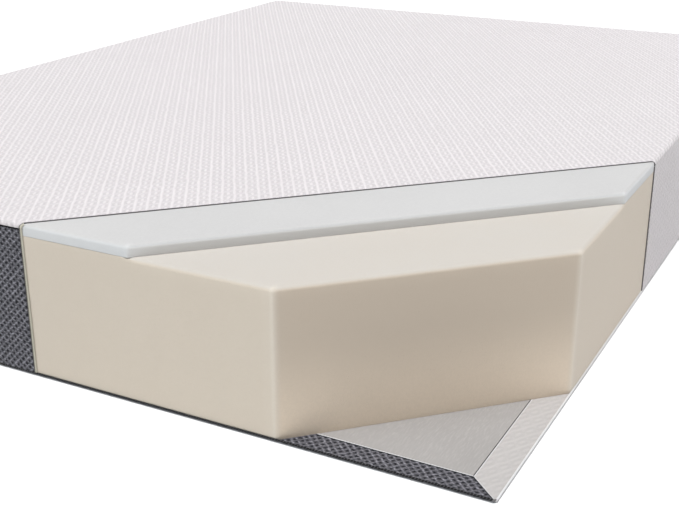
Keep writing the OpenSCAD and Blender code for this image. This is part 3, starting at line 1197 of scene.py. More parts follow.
@dataclass
class FoamCore:
    """The two foam layers."""

    sizes: Sizes
    wardrobe: Wardrobe
    base_round: float = 0.007
    memory_round: float = 0.006
    zip_room: float = 0.001

    def build(self) -> None:
        """Makes the base block, pressed in behind the zip, and the memory layer."""
        s, w = self.sizes, self.wardrobe
        corner = (-s.half_l, -s.half_w)
        base_lo, base_hi = (np.array(p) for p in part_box("base_foam"))
        memory_lo, memory_hi = (np.array(p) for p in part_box("memory_foam"))
        tape_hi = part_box("zip_tape_upper")[1]
        zip_z = (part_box("zip_tape_lower")[0][2] + tape_hi[2]) / 2
        depth = base_hi[0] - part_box("zip_slider")[0][0] + self.zip_room
        pocket = (zip_z, tape_hi[2] - zip_z + self.zip_room, tape_hi[1] + 2 * self.zip_room, depth)
        base = FoamBlock("foam_base_block", base_lo, base_hi, corner, cut=s.base_cut,
                         radius=self.base_round, covered=s.memory_cut, pocket=pocket).build()
        memory = FoamBlock("foam_memory_layer", memory_lo, memory_hi, corner, cut=s.memory_cut,
                           radius=self.memory_round, covered=s.cover_cut).build()
        dress(base, w.base, "base_foam", ["base_foam"])
        dress(memory, w.memory, "memory_foam", ["memory_foam"])


# ---------------------------------------------------------------------------------------------
# Cover
# ---------------------------------------------------------------------------------------------


@dataclass
class Cover:
    """The sewn cover: top panel, walls, turned-under strips and bottom panel."""

    sizes: Sizes
    wardrobe: Wardrobe
    bulge: float = 0.0012
    pucker: float = 0.0005
    close_over: float = 0.0013
    seam_ease: float = 0.0016
    mitre_ease: float = 0.0013
    zip_fold: float = 0.0022
    top_wave: float = 0.0009

    def round_corners(self, plan: Array) -> Array:
        """Pulls points beyond the rounded upright corners back onto them.

        Args:
            plan: Grid of x, y.

        Returns:
            The same grid inside the rounded outline.
        """
        s = self.sizes
        core = np.clip(plan, [-s.half_l + s.corner_r, -s.half_w + s.corner_r],
                       [s.half_l - s.corner_r, s.half_w - s.corner_r])
        away = plan - core
        gap = np.linalg.norm(away, axis=-1, keepdims=True)
        return np.where(gap > s.corner_r, core + away * s.corner_r / np.maximum(gap, TINY), plan)

    def edge_distance(self, plan: Array) -> Array:
        """Distance inwards from the rounded outline."""
        s = self.sizes
        q = np.abs(plan) - np.array([s.half_l - s.corner_r, s.half_w - s.corner_r])
        outside = np.linalg.norm(np.maximum(q, 0), axis=-1)
        return s.corner_r - outside - np.minimum(q.max(axis=-1), 0)

    def knit_uv(self, side: Side, t: Array, z: Array) -> Array:
        """Metres on a long side's knit, counted on from the top panel's own.

        Args:
            side: The side.
            t: Distances along it.
            z: Heights, or what they would be if the cloth hung straight down.

        Returns:
            Pairs of metres.
        """
        s = self.sizes
        beyond = s.half_w + s.top_r * (math.pi / 2 - 1) + s.height - s.top_r - z
        return np.stack([t * side.along[0], np.sign(side.out[1]) * beyond], -1)

    def top_lines(self, half: float, count: int) -> Array:
        """Grid lines across the top panel, close together where its edges roll down."""
        r = self.sizes.top_r
        roll = r * (1 - np.sin(np.linspace(math.pi / 2, 0, 8)))[:-1]
        middle = np.linspace(-half + r, half - r, count)
        return np.concatenate([-half + roll, middle, half - roll[::-1]])

    def top_panel(self) -> Piece:
        """Makes the top panel with its edges rolled down over the sides.

        Over the last radius before the outline the height falls along a quarter circle, so it is
        the square root of radius squared minus the squared distance past the start of the roll.
        The long sides go a little further down, over their hidden seams.

        Returns:
            The piece.
        """
        s = self.sizes
        r = s.top_r
        roll = r * (1 - np.sin(np.linspace(math.pi / 2, 0, 8)))
        lines_x, lines_y = self.top_lines(s.half_l, 160), self.top_lines(s.half_w, 120)
        kink = -s.half_w + s.cover_cut
        kept = lines_y[np.abs(lines_y - kink) > r]
        lines_y = np.sort(np.concatenate([kept, kink - roll, [kink + r]]))
        start = np.maximum(-s.half_l, kink - s.half_l - lines_y)
        share = (lines_x + s.half_l) / (2 * s.half_l)
        x = start[:, None] + (s.half_l - start)[:, None] * share[None, :]
        plan = np.stack([x, np.broadcast_to(lines_y[:, None], x.shape)], -1)
        rounded = self.round_corners(plan)
        inward = np.clip(self.edge_distance(rounded), 0, None)
        past = np.clip(r - inward, 0, r)
        z = s.height - r + np.sqrt(np.maximum(r * r - past * past, 0))
        level = smooth_step(inward, 0.0, 0.09)
        wave = ripple(rounded[..., 0], rounded[..., 1],
                      [(0.47, 12, 0.4), (0.33, 100, 2.2), (0.24, 55, 1.1), (0.61, 150, 3.0)])
        z = z + self.top_wave * level * wave - 0.0004 * level
        grid = np.concatenate([rounded, z[..., None]], -1)
        over = self.close_over * smooth_step(s.half_l - np.abs(rounded[..., 0]), 0.002, 0.02)
        skirts = grid[[0, -1]]
        skirts[..., 2] -= over[[0, -1]]
        grid = np.concatenate([skirts[:1], grid, skirts[1:]])
        arc = np.arcsin(np.clip(past / r, 0, 1)) * r - past
        uv = rounded.copy()
        near_long = (s.half_w - np.abs(rounded[..., 1])) < (s.half_l - np.abs(rounded[..., 0]))
        uv[..., 1] += np.where(near_long, np.sign(rounded[..., 1]) * arc, 0)
        uv[..., 0] += np.where(near_long, 0, np.sign(rounded[..., 0]) * arc)
        uv = np.concatenate([uv[:1] - [0, self.close_over], uv, uv[-1:] + [0, self.close_over]])
        piece = make_cloth("cover_top", grid, uv, s.cloth)
        return dress(piece, self.wardrobe.knit, "knit", ["cover_top_panel"])

    def outline(self, side: Side, t: Array, depth: float = 0.0) -> Tuple[Array, Array]:
        """Points and outward directions along one side, round half of each rounded corner.

        Args:
            side: The side.
            t: Distances along it from its middle. Past the start of a corner they follow its arc.
            depth: Distance inside the outline.

        Returns:
            Points at height 0, and unit vectors.
        """
        s = self.sizes
        straight = s.half_span(side) - s.corner_r
        angle = np.clip(np.abs(t) - straight, 0, None) / s.corner_r
        along = np.clip(t, -straight, straight)
        normal = side.along * (np.sign(t) * np.sin(angle))[:, None]
        normal = normal + side.out * np.cos(angle)[:, None]
        centre = side.along * along[:, None] + side.out * (s.reach(side) - s.corner_r)
        return centre + normal * (s.corner_r - depth), normal

    def side_range(self, side: Side, cut: bool, ease: float) -> Tuple[float, float]:
        """Where a side's cloth starts and stops, as distances along the side.

        Args:
            side: The side.
            cut: Stops at the cover's cut where the side has one.
            ease: Room left at each corner seam.

        Returns:
            The start and the stop.
        """
        s = self.sizes
        full = s.half_span(side) - s.corner_r + s.corner_r * math.pi / 4 - ease
        start, stop = -full, full
        if cut and side is Side.FOOT:
            stop = s.half_w - s.cover_cut
        if cut and side is Side.NEAR:
            start = -s.half_l + s.cover_cut
        return start, stop

    def columns(self, start: float, stop: float, side: Side, step: float = 0.010) -> Array:
        """Distances along a side, close together round its corners."""
        straight = self.sizes.half_span(side) - self.sizes.corner_r
        first, last = max(start, -straight), min(stop, straight)
        parts = [np.linspace(first, last, max(2, int((last - first) / step)))]
        if start < -straight:
            parts.insert(0, np.linspace(start, -straight, 5)[:-1])
        if stop > straight:
            parts.append(np.linspace(straight, stop, 5)[1:])
        return np.concatenate(parts)

    def relief(self, t: Array, z: Array, low: float, high: float, side: Side) -> Array:
        """How far a wall stands out: a shallow belly, and puckers that fade away from its seams.

        Args:
            t: Distances along the side.
            z: Heights.
            low: Height of the lower seam.
            high: Height of the upper seam.
            side: The side, which sets where the puckers fall.

        Returns:
            Metres outwards.
        """
        middle = np.sin(math.pi * np.clip((z - low) / (high - low), 0, 1))
        phase = 1.3 * list(Side).index(side)
        fade = np.exp(-(z - low) / 0.016) + np.exp(-(high - z) / 0.016)
        drawn = ripple(t, 0 * t, [(0.062, 0, phase), (0.041, 0, phase + 2.0), (0.097, 0, 0.5)])
        sway = ripple(t, z, [(0.36, 8, phase), (0.21, 25, phase + 1.0)])
        return self.bulge * middle ** 0.8 + self.pucker * (drawn * fade + sway * middle)

    def wall(self, side: Side, name: str, node: str) -> Piece:
        """Makes a plain wall between its upper and lower seams.

        Args:
            side: The side.
            name: Name of the piece.
            node: Frame node that it replaces.

        Returns:
            The piece.
        """
        s = self.sizes
        start, stop = self.side_range(side, True, self.seam_ease)
        t = self.columns(start, stop, side)
        top = s.seam_low + (0 if side.is_end else self.close_over)
        close = np.array([0.0, 0.004, 0.009])
        even = np.linspace(s.wall_low + 0.016, top - 0.016, 17)
        tt, zz = np.meshgrid(t, np.concatenate([s.wall_low + close, even, top - close[::-1]]))
        base, normal = self.outline(side, t)
        lift = self.relief(tt, zz, s.wall_low, top, side)
        grid = base[None] + normal[None] * lift[..., None]
        grid[..., 2] = zz
        if side.is_end:
            cloth = make_cloth(name, grid, np.stack([tt, zz], -1), s.cloth)
            return dress(cloth, self.wardrobe.mesh, "mesh", [node])
        cloth = make_cloth(name, grid, self.knit_uv(side, tt, zz), s.cloth)
        return dress(cloth, self.wardrobe.knit, "knit", [node])

    def head_wall(self, upper: bool) -> Piece:
        """Makes the head wall's part above or below the zip, with its folded edge.

        Between the zip's ends the edge stops short of the zip's middle by half the opening, then
        turns in over a small radius and runs back to the tape. Beyond the zip both parts meet.

        Args:
            upper: True for the part above the zip.

        Returns:
            The piece.
        """
        s, fold = self.sizes, self.zip_fold
        node = "head_end_wall_upper" if upper else "head_end_wall_lower"
        lo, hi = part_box(node)
        tape_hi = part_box("zip_tape_upper" if upper else "zip_tape_lower")[1]
        zip_z = float(lo[2] if upper else hi[2])
        half_zip = float(tape_hi[1])
        sink = s.half_l - float(tape_hi[0])
        sign = 1 if upper else -1
        gap = float(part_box("zip_slider")[1][2]) - zip_z + 0.001
        far = s.seam_low if upper else s.wall_low
        start, stop = self.side_range(Side.HEAD, False, self.seam_ease)
        ends = np.linspace(-0.006, 0.006, 7)
        columns = [self.columns(start, stop, Side.HEAD), ends - half_zip, ends + half_zip]
        t = np.sort(np.concatenate(columns))
        mask = 1 - smooth_step(np.abs(t), half_zip - 0.004, half_zip)
        edge = zip_z + sign * gap * mask
        down = np.linspace(0, 1, 14)[:, None] ** 0.9
        turn = np.linspace(0, math.pi / 2, 5)[1:, None]
        back = np.array([0.4, 0.7, 1.0])[:, None]
        zz = np.concatenate([far + (edge + sign * fold * mask - far) * down,
                             edge + sign * fold * mask * (1 - np.sin(turn)), edge + 0 * back])
        deep = mask * np.concatenate([0 * down, fold * (1 - np.cos(turn)),
                                      fold + (sink - fold - 0.0002) * back])
        zz = zz - sign * np.arange(len(zz))[:, None] * 1e-6
        base, normal = self.outline(Side.HEAD, t)
        lift = self.relief(np.broadcast_to(t, zz.shape), zz, s.wall_low, s.seam_low, Side.HEAD)
        calm = smooth_step(np.abs(zz - zip_z), gap, gap + 0.03)
        lip = 0.0016 * mask * np.exp(-np.abs(zz - edge) / 0.012) * (deep < 1e-5)
        out = lift * (calm * 0.8 + 0.2) + lip - deep
        grid = base[None] + normal[None] * out[..., None]
        grid[..., 2] = zz
        uv = np.stack([np.broadcast_to(t, zz.shape), far - sign * run_length(grid)], -1)
        if upper:
            grid, uv = grid[::-1], uv[::-1]
        name = "cover_head_upper" if upper else "cover_head_lower"
        piece = make_cloth(name, grid, uv, s.cloth * 0.8)
        return dress(piece, self.wardrobe.mesh, "mesh", [node])

    def strip(self, side: Side, name: str, node: str) -> Piece:
        """Makes one turned-under strip, flat below and turned up at its outer edge.

        Its section runs from the panel's seam outwards on the floor, then up round the bottom
        radius to the bottom seam. Both ends are cut on the slant, where the next strip meets it.

        Args:
            side: The side.
            name: Name of the piece.
            node: Frame node that it replaces.

        Returns:
            The piece.
        """
        s = self.sizes
        width, across = s.turn(side), s.turn(Side.NEAR if side.is_end else Side.FOOT)
        angle = np.linspace(0, math.radians(60), 6)[1:]
        flat = np.linspace(width, s.bottom_r, 12)
        deep = np.concatenate([flat, s.bottom_r * (1 - np.sin(angle))])
        z = np.concatenate([0 * flat, s.bottom_r * (1 - np.cos(angle))])
        share = np.linspace(-1, 1, int(2 * s.half_span(side) / 0.010))
        half = s.half_span(side) - deep * across / width - self.mitre_ease
        tt = share[None, :] * half[:, None]
        plan = side.along * tt[..., None] + side.out * (s.reach(side) - deep)[:, None, None]
        plan[..., :2] = self.round_corners(plan[..., :2])
        wave = ripple(tt, np.broadcast_to(deep[:, None], tt.shape),
                      [(0.055, 35, 0.2), (0.036, 140, 1.4), (0.083, 80, 2.6)])
        free = self.open_floor(plan[..., 0], plan[..., 1], 0.012)
        lift = 0.0004 + 0.0005 * (1 + wave) if not side.is_end else 0.0002 * (1 + wave)
        plan[..., 2] = z[:, None] + free * lift * smooth_step(deep, 0.0, 0.008)[:, None]
        plan[..., 2] *= smooth_step(width - deep, -0.001, 0.006)[:, None]
        length = run_length(np.stack([deep, z], -1))
        hung = np.broadcast_to((s.wall_low - (length[-1] - length))[:, None], tt.shape)
        thickness = s.cloth - 0.0001
        if side.is_end:
            cloth = make_cloth(name, plan, np.stack([tt, hung], -1), thickness)
            return dress(cloth, self.wardrobe.mesh, "mesh", [node])
        # The long strips take the knit's back, darkened as painted shade.
        cloth = make_cloth(name, plan, self.knit_uv(side, tt, hung), thickness)
        return dress(cloth, self.wardrobe.knit_back_shaded, "knit", [node])

    def open_floor(self, x: Array, y: Array, fade: float) -> Array:
        """1 where the opened corner leaves the underside uncovered, 0 under the foam."""
        s = self.sizes
        gap = s.base_cut - (x + s.half_l) - (y + s.half_w)
        return smooth_step(gap, 0.0, fade)

    def bottom_panel(self) -> Piece:
        """Makes the grey bottom panel, which lies slack where nothing presses on it.

        Returns:
            The piece.
        """
        s = self.sizes
        lo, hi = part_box("bottom_panel")
        lines = []
        for first, last, count in ((lo[0], hi[0], 70), (lo[1], hi[1], 50)):
            open_end = first + s.base_cut
            lines.append(np.concatenate([np.linspace(first, open_end, 40),
                                         np.linspace(open_end, last, count)[1:]]))
        xx, yy = np.meshgrid(*lines)
        edge = np.minimum(xx - lo[0], yy - lo[1])
        wave = ripple(xx, yy, [(0.14, 40, 0.5), (0.09, 110, 2.0), (0.21, -20, 1.0)])
        slack = self.open_floor(xx, yy, 0.05) * smooth_step(edge, 0.0, 0.05)
        top = hi[2] + slack * 0.0011 * (1 + wave)
        grid = np.stack([xx, yy, top], -1)
        piece = make_cloth("cover_bottom_panel", grid, grid[..., :2], s.cloth)
        return dress(piece, self.wardrobe.felt, "felt", ["bottom_panel"])

    def build(self) -> None:
        """Makes every panel of the cover."""
        s = self.sizes
        top = self.top_panel()
        plain = ((Side.FOOT, "cover_foot_wall", "foot_end_wall"),
                 (Side.NEAR, "cover_near_wall", "near_side_wall"),
                 (Side.FAR, "cover_far_wall", "far_side_wall"))
        for side, name, node in plain:
            start, stop = self.side_range(side, True, 0.0)
            self.wall(side, name, node)
        for upper in (True, False):
            wall = self.head_wall(upper)
        strips = ((Side.FOOT, "cover_foot_turn_under", "foot_turn_under"),
                  (Side.NEAR, "cover_near_turn_under", "near_turn_under"),
                  (Side.HEAD, "cover_head_turn_under", "head_turn_under"),
                  (Side.FAR, "cover_far_turn_under", "far_turn_under"))
        for side, name, node in strips:
            width, across = s.turn(side), s.turn(Side.NEAR if side.is_end else Side.FOOT)
            length = 2 * s.half_span(side)
            strip = self.strip(side, name, node)
        panel = self.bottom_panel()


# ---------------------------------------------------------------------------------------------
# Stitching
# ---------------------------------------------------------------------------------------------


@dataclass
class Stitching:
    """Overlock seams, grey cords along the cover's cut edges as painted shade, and the seams of the
    underside.
    """

    sizes: Sizes
    cover: Cover
    wardrobe: Wardrobe
    pitch: float = 0.0045
    close_pitch: float = 0.0035
    wire: float = 0.00032
    fine_wire: float = 0.00020
    end_seam: Tuple[float, float, float, float] = (0.22, 0.34, 0.80, 0.28)
    side_seam: Tuple[float, float, float, float] = (0.90, 0.16, 0.36, 0.30)

    def sew(self, path: Array, up: Array, radius: Tuple[float, float], wire: float,
            pitch: Optional[float] = None) -> Tuple[Shape, Shape]:
        """A cord of bundled thread with stitches that go over it at an even pitch.

        Args:
            path: Points of the seam.
            up: For each point, the direction that the stitches arch to.
            radius: Half width and half height of the cord.
            wire: Radius of the stitch thread.
            pitch: Distance between stitches.

        Returns:
            The cord, then the stitches, each as points and faces.
        """
        step = pitch or self.pitch
        both = resample(np.concatenate([path, up], axis=1), step)
        places, lean_to = both[:, :3], both[:, 3:]
        shape, quads = thread_arc(radius[0] * 1.06, radius[1] * 1.06, wire, step * 0.3)
        return tube(path, up, radius, 8), stamp(shape, quads, places, frames_along(places, lean_to))

    def level_path(self, side: Side, cut: bool, depth: float, z: float) -> Tuple[Array, Array]:
        """A path along one side at one height, with its outward directions."""
        start, stop = self.cover.side_range(side, cut, 0.0)
        t = self.cover.columns(start, stop, side, 0.012)
        points, normal = self.cover.outline(side, t, depth)
        points[:, 2] = z
        return points, normal

    def round_seams(self) -> None:
        """Makes the seams at the top and bottom of every side."""
        s, w = self.sizes, self.wardrobe
        for side in Side:
            name = side.name.lower()
            material, slot = (w.dark, "dark_thread") if side.is_end else (w.pale, "pale_thread")
            depth = 0.0011 if side.is_end else 0.0024
            half = (s.seam_high - s.seam_low) / 2
            path, out = self.level_path(side, True, depth, s.seam_low + half)
            seam = self.sew(path, out, (half * 1.02, 0.0013), self.wire)
            piece = make_sewn(f"seam_top_{name}", [seam])
            dress(piece, material, slot, [f"{name}_top_seam"], material)
            half = (s.wall_low - s.cloth) / 2
            path, out = self.level_path(side, False, 0.0014, s.cloth + half)
            seam = self.sew(path, out, (half * 1.05, 0.0014), self.wire)
            piece = make_sewn(f"seam_bottom_{name}", [seam])
            dress(piece, material, slot, [f"{name}_bottom_seam"], w.grey if side.is_end else material)

    def corner_seams(self) -> None:
        """Makes the upright seams where knit meets mesh, at the three whole corners."""
        s, dark = self.sizes, self.wardrobe.dark
        z = np.arange(s.wall_low, s.seam_low, 0.010)
        seams = []
        for side in (Side.NEAR, Side.HEAD, Side.FAR):
            end = s.half_span(side) - s.corner_r + s.corner_r * math.pi / 4
            point, out = self.cover.outline(side, np.array([end]), 0.0012)
            path, up = np.repeat(point, len(z), axis=0), np.repeat(out, len(z), axis=0)
            path[:, 2] = z
            seams.append(self.sew(path, up, (0.0016, 0.0014), self.wire))
        dress(make_sewn("seam_corners", seams), dark, "dark_thread", ["corner_seams"], dark)

    def cut_line(self, offset: float) -> Tuple[Array, Array]:
        """Line of the cover's cut: up the foot wall, across the top, and down the near wall.

        It follows the wall's face, a quarter circle over the roll, the flat top, and the same
        again on the near side.

        Args:
            offset: Distance from the cut into the opened corner.

        Returns:
            The line and its outward directions.
        """
        s = self.sizes
        r = s.top_r
        cut = s.cover_cut - offset
        rise = np.linspace(s.wall_low, s.height - r, 24)
        bend = np.linspace(0, math.pi / 2, 10)[1:]
        angle = np.concatenate([0 * rise, bend])
        inward = r * (1 - np.cos(angle))
        z = np.concatenate([rise, s.height - r + r * np.sin(bend)])
        foot = np.stack([-s.half_l + inward, -s.half_w + cut - inward, z], -1)
        near = np.stack([-s.half_l + cut - inward, -s.half_w + inward, z], -1)
        foot_out = np.stack([-np.cos(angle), 0 * angle, np.sin(angle)], -1)
        near_out = np.stack([0 * angle, -np.cos(angle), np.sin(angle)], -1)
        share = np.linspace(0, 1, 80)[1:-1, None]
        flat = foot[-1] * (1 - share) + near[-1] * share
        flat_out = np.tile(foot_out[-1], (len(flat), 1))
        line = np.concatenate([foot, flat, near[::-1]])
        return line, np.concatenate([foot_out, flat_out, near_out[::-1]])

    def cut_edge_cords(self) -> None:
        """Lays a thin grey cord along the cover's cut edge, whose grey line is painted shade along
        the cut, and shows the lining's edge down the foot wall in olive, partly its own pale colour
        and partly painted shade of the rolled edge.
        """
        w = self.wardrobe
        # Grey cord along the cut: painted shade of the cut edge.
        line, out = self.cut_line(0.0)
        seam = self.sew(line - out * 0.0010, out, (0.0004, 0.0010), self.fine_wire,
                        self.close_pitch)
        dress(make_sewn("seam_cut_edge", [seam]), w.grey, "dark_thread", second=w.grey)
        # Lining edge: olive tone, partly the lining's pale colour and partly painted shade of the
        # rolled edge.
        line, out = (part[:30] for part in self.cut_line(0.0026))
        seam = self.sew(line - out * 0.0014, out, (0.0021, 0.0010), self.fine_wire, 0.003)
        dress(make_sewn("seam_cut_lining", [seam]), w.lining, "pale_thread", second=w.lining)

    def ring_path(self, side: Side, depth: float, z: float) -> Array:
        """A line parallel to a side, from slant to slant, at a depth inside the outline."""
        s = self.sizes
        across = depth * (s.side_turn / s.end_turn if side.is_end else s.end_turn / s.side_turn)
        t = np.linspace(-1, 1, 120) * (s.half_span(side) - across)
        path = side.along * t[:, None] + side.out * (s.reach(side) - depth)
        path[:, 2] = z
        return path

    def underside_seams(self) -> None:
        """Makes the seam round the bottom panel and the slanting seams between the strips.

        At the ends a dark thread lies on the strip's side and a white one on the panel's side;
        along the long sides it is a thin dark thread at the panel and a white one at the strip.
        """
        s, w = self.sizes, self.wardrobe
        low = s.cloth * 0.62
        dark_wire, pale_wire = 0.00025, 0.00030
        dark, pale = [], []
        for side in Side:
            turn, width = s.turn(side), s.panel_seam
            seam = self.end_seam if side.is_end else self.side_seam
            dark_at, dark_half, pale_at, pale_half = seam
            path = self.ring_path(side, turn + width * dark_at, low)
            up = np.tile(UPWARDS, (len(path), 1))
            dark.append(self.sew(path, up, (width * dark_half, s.cloth * 0.50), dark_wire))
            path = self.ring_path(side, turn + width * pale_at, low)
            pale.append(self.sew(path, up, (width * pale_half, s.cloth * 0.62), pale_wire))
        dress(make_sewn("seam_panel_dark", dark), w.dark, "dark_thread",
              ["bottom_panel_seam"], w.dark)
        dress(make_sewn("seam_panel_pale", pale), w.pale, "pale_thread", second=w.pale)
        share = np.linspace(0.09, 0.99, 40)[:, None]
        up = np.tile(UPWARDS, (len(share), 1))
        dark, pale = [], []
        for sx, sy in ((-1, -1), (-1, 1), (1, -1), (1, 1)):
            corner = np.array([sx * s.half_l, sy * s.half_w, 0])
            inner = corner - [sx * s.end_turn, sy * s.side_turn, 0]
            reach = unit(inner - corner)
            sideways = unit(np.array([0.0, float(sy), 0.0]) - reach * reach[1] * sy)
            line = corner * (1 - share) + inner * share
            line[:, 2] = low
            dark.append(self.sew(line - sideways * 0.0008, up, (0.0008, 0.0012), dark_wire))
            pale.append(self.sew(line + sideways * 0.0011, up, (0.0012, 0.0014), pale_wire))
        dress(make_sewn("seam_slants_dark", dark), w.dark, "dark_thread",
              ["turn_under_mitre_seams"], w.dark)
        dress(make_sewn("seam_slants_pale", pale), w.pale, "pale_thread", second=w.pale)

    def build(self) -> None:
        """Makes every seam."""
        self.round_seams()
        self.corner_seams()
        self.cut_edge_cords()
        self.underside_seams()


# ---------------------------------------------------------------------------------------------
# Zip and label
# ---------------------------------------------------------------------------------------------


@dataclass
class Zip:
    """The head end zip: woven tapes, nylon coils, and the frame's own stops, slider and puller."""

    wardrobe: Wardrobe
    pitch: float = 0.0019
    wire: float = 0.00042

    def coil(self, node: str, upper: bool) -> Piece:
        """Winds one row of coils as a flattened spiral along the zip.

        A point is at the row's middle, plus cosine times half its width up and sine times half
        its height outwards, while it moves along by one pitch per turn.

        Args:
            node: Frame node that it replaces.
            upper: True for the upper row, which lies a quarter pitch on and winds from below.

        Returns:
            The piece.
        """
        lo, hi = (np.array(p, dtype=float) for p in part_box(node))
        span = hi - lo
        turns = int(span[1] / self.pitch)
        angle = np.linspace(0, 2 * math.pi * turns, turns * 10 + 1)
        half_x, _, half_z = span / 2 - self.wire
        centre_x, _, centre_z = (lo + hi) / 2
        sign = 1 if upper else -1
        start = lo[1] + self.wire + (self.pitch / 4 if upper else 0.0)
        across = np.stack([half_x * np.sin(angle), 0 * angle, -sign * half_z * np.cos(angle)], -1)
        path = across + [centre_x, start, centre_z]
        path[:, 1] += (span[1] - 2 * self.wire - self.pitch) * angle / angle[-1]
        wound = tube(path, unit(across), (self.wire, self.wire), 6)
        piece = make_piece(f"{node}_wound", *wound)
        return dress(piece, self.wardrobe.coil, "zip_coil", [node])

    def tape(self, node: str) -> Piece:
        """Makes one tape, a thin band that ripples very slightly along its length.

        Args:
            node: Frame node that it replaces.

        Returns:
            The piece.
        """
        lo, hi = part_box(node)
        yy, zz = np.meshgrid(np.linspace(lo[1], hi[1], 180), np.linspace(lo[2], hi[2], 9))
        sway = 0.0001
        x = hi[0] - sway + sway * ripple(yy, zz, [(0.05, 0, 0.3), (0.031, 20, 1.0)])
        grid = np.stack([x, yy, zz], -1)
        piece = make_cloth(f"{node}_woven", grid, grid[..., 1:], float(hi[0] - lo[0]) - 2 * sway)
        return dress(piece, self.wardrobe.tape, "zip_tape", [node])

    def build(self) -> None:
        """Makes the tapes and coils, and gives the metal parts their finish."""
        self.tape("zip_tape_upper")
        self.tape("zip_tape_lower")
        self.coil("zip_coil_upper", True)
        self.coil("zip_coil_lower", False)
        for node in ("zip_stops", "zip_slider", "zip_puller"):
            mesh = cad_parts[node].data
            mesh.materials.clear()
            mesh.materials.append(self.wardrobe.metal)
            log.info("%s: kept from the frame, coated metal", node)


@dataclass
class Label:
    """The blank label on the head end, sewn down along its top edge."""

    sizes: Sizes
    wardrobe: Wardrobe
    thickness: float = 0.0005
    stand_off: float = 0.0022
    lift: float = 0.0016
    corner_lift: float = 0.0022

    def build(self) -> None:
        """Makes the label as a thin sheet that lifts a little at its lower corners."""
        lo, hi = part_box("care_label")
        yy, zz = np.meshgrid(np.linspace(lo[1], hi[1], 24), np.linspace(lo[2], hi[2], 30))
        drop = (hi[2] - zz) / (hi[2] - lo[2])
        side = np.abs(yy - (lo[1] + hi[1]) / 2) / (hi[1] - lo[1]) * 2
        face = self.sizes.half_l + self.stand_off
        x = face + self.lift * drop ** 3 + self.corner_lift * drop ** 2 * side ** 3
        grid = np.stack([x, yy, zz], -1)
        piece = make_cloth("label_blank", grid, grid[..., 1:], self.thickness)
        dress(piece, self.wardrobe.label, "label", ["care_label"])
        line = np.linspace(lo[1] + 0.002, hi[1] - 0.002, 14)
        places = np.stack([0 * line + face + 0.0001, line, 0 * line + hi[2] - 0.003], -1)
        axes = [np.tile(a, (len(line), 1)).astype(float) for a in ((0, 0, 1), (0, 1, 0), (1, 0, 0))]
        shape, quads = thread_arc(0.0011, 0.0005, 0.00018, 0.0)
        stitches = make_piece("label_stitches", *stamp(shape, quads[:, ::-1], places, axes))
        dress(stitches, self.wardrobe.dark, "dark_thread")


# ---------------------------------------------------------------------------------------------
# Studio
# ---------------------------------------------------------------------------------------------


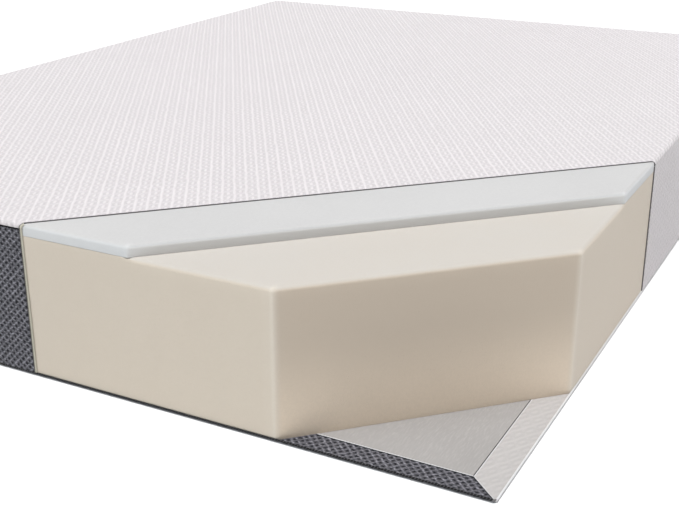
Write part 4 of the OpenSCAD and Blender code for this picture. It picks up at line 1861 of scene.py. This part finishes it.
@dataclass
class Studio:
    """Floor, light and camera."""

    sizes: Sizes
    pitch_deg: float = 21.3234
    yaw_deg: float = 27.619
    lens_mm: float = 59.813
    place: Tuple[float, float, float] = (-4.6468, -1.5395, 3.2439)
    floor_half: float = 120.0
    floor_z: float = -0.0004
    glow_levels: Tuple[float, float] = (0.12, 0.26)
    glow: Tuple[float, float] = (1.05, 0.20)

    def camera(self) -> None:
        """Sets the camera over the opened corner, at a place in mattress heights from there."""
        s = self.sizes
        data = bpy.data.cameras.new("camera")
        data.lens = self.lens_mm
        data.sensor_width = 36.0
        data.sensor_fit = "HORIZONTAL"
        data.clip_start = 0.05
        camera = bpy.data.objects.new("camera", data)
        bpy.context.scene.collection.objects.link(camera)
        x, y, z = (k * s.height for k in self.place)
        camera.location = (x - s.half_l, y - s.half_w, z)
        tilt, heading = math.radians(90 - self.pitch_deg), math.radians(self.yaw_deg - 90)
        camera.rotation_euler = (tilt, 0, heading)
        bpy.context.scene.camera = camera

    def lamp(self, name: str, source: Sequence[float], strength: float, angle_deg: float,
             colour: Colour = (1.0, 1.0, 1.0)) -> None:
        """Adds a soft light that is the same everywhere.

        Args:
            name: Name of the light.
            source: Direction towards the light.
            strength: Its strength.
            angle_deg: Angle that it fills in the sky, which sets how soft its shadows are.
            colour: Its colour.
        """
        data = bpy.data.lights.new(name, "SUN")
        data.color = colour
        data.energy = strength
        data.angle = math.radians(angle_deg)
        lamp = bpy.data.objects.new(name, data)
        bpy.context.scene.collection.objects.link(lamp)
        x, y, z = source
        tilt, heading = math.atan2(math.hypot(x, y), z), math.atan2(y, x)
        lamp.rotation_euler = (tilt, 0, heading + math.pi / 2)

    def surroundings(self) -> None:
        """Makes white surroundings, brightest low down so that floor and wall run together."""
        world = bpy.data.worlds.new("studio")
        world.use_nodes = True
        nodes, links = world.node_tree.nodes, world.node_tree.links
        background = nodes["Background"]
        background.inputs[0].default_value = (1.0, 1.0, 1.0, 1.0)
        parts = nodes.new("ShaderNodeSeparateXYZ")
        links.new(nodes.new("ShaderNodeTexCoord").outputs["Generated"], parts.inputs[0])
        fade = nodes.new("ShaderNodeMapRange")
        fade.interpolation_type = "SMOOTHSTEP"
        set_span(fade, *self.glow_levels, *self.glow)
        links.new(parts.outputs[2], fade.inputs[0])
        links.new(fade.outputs[0], background.inputs[1])
        bpy.context.scene.world = world

    def build(self) -> None:
        """Makes the floor, the surroundings, three soft lights and the camera."""
        x = np.array([-self.floor_half, self.floor_half])
        grid = np.stack(np.meshgrid(x, x), -1).reshape(-1, 2)
        points = np.column_stack([grid, np.full(4, self.floor_z)])
        floor = make_piece("floor", points, grid_quads(2, 2))
        floor.data.materials.append(FloorFinish().material())
        self.surroundings()
        bpy.context.scene.view_settings.view_transform = "Standard"
        self.lamp("overhead", (-0.14, -0.06, 1.0), 3.28, 12.0)
        self.lamp("foot_far", (-1.0, 1.0, 0.8), 1.12, 35.0, (0.86, 0.95, 1.0))
        self.lamp("near_head", (1.0, -1.0, 0.8), 0.80, 35.0, (0.90, 0.93, 1.0))
        self.camera()


def main() -> None:
    """Builds the mattress and its studio."""
    sizes = Sizes.from_frame()
    wardrobe = Wardrobe()
    Studio(sizes).build()
    FoamCore(sizes, wardrobe).build()
    cover = Cover(sizes, wardrobe)
    cover.build()
    Stitching(sizes, cover, wardrobe).build()
    Zip(wardrobe).build()
    Label(sizes, wardrobe).build()


if __name__ == "__main__":
    main()
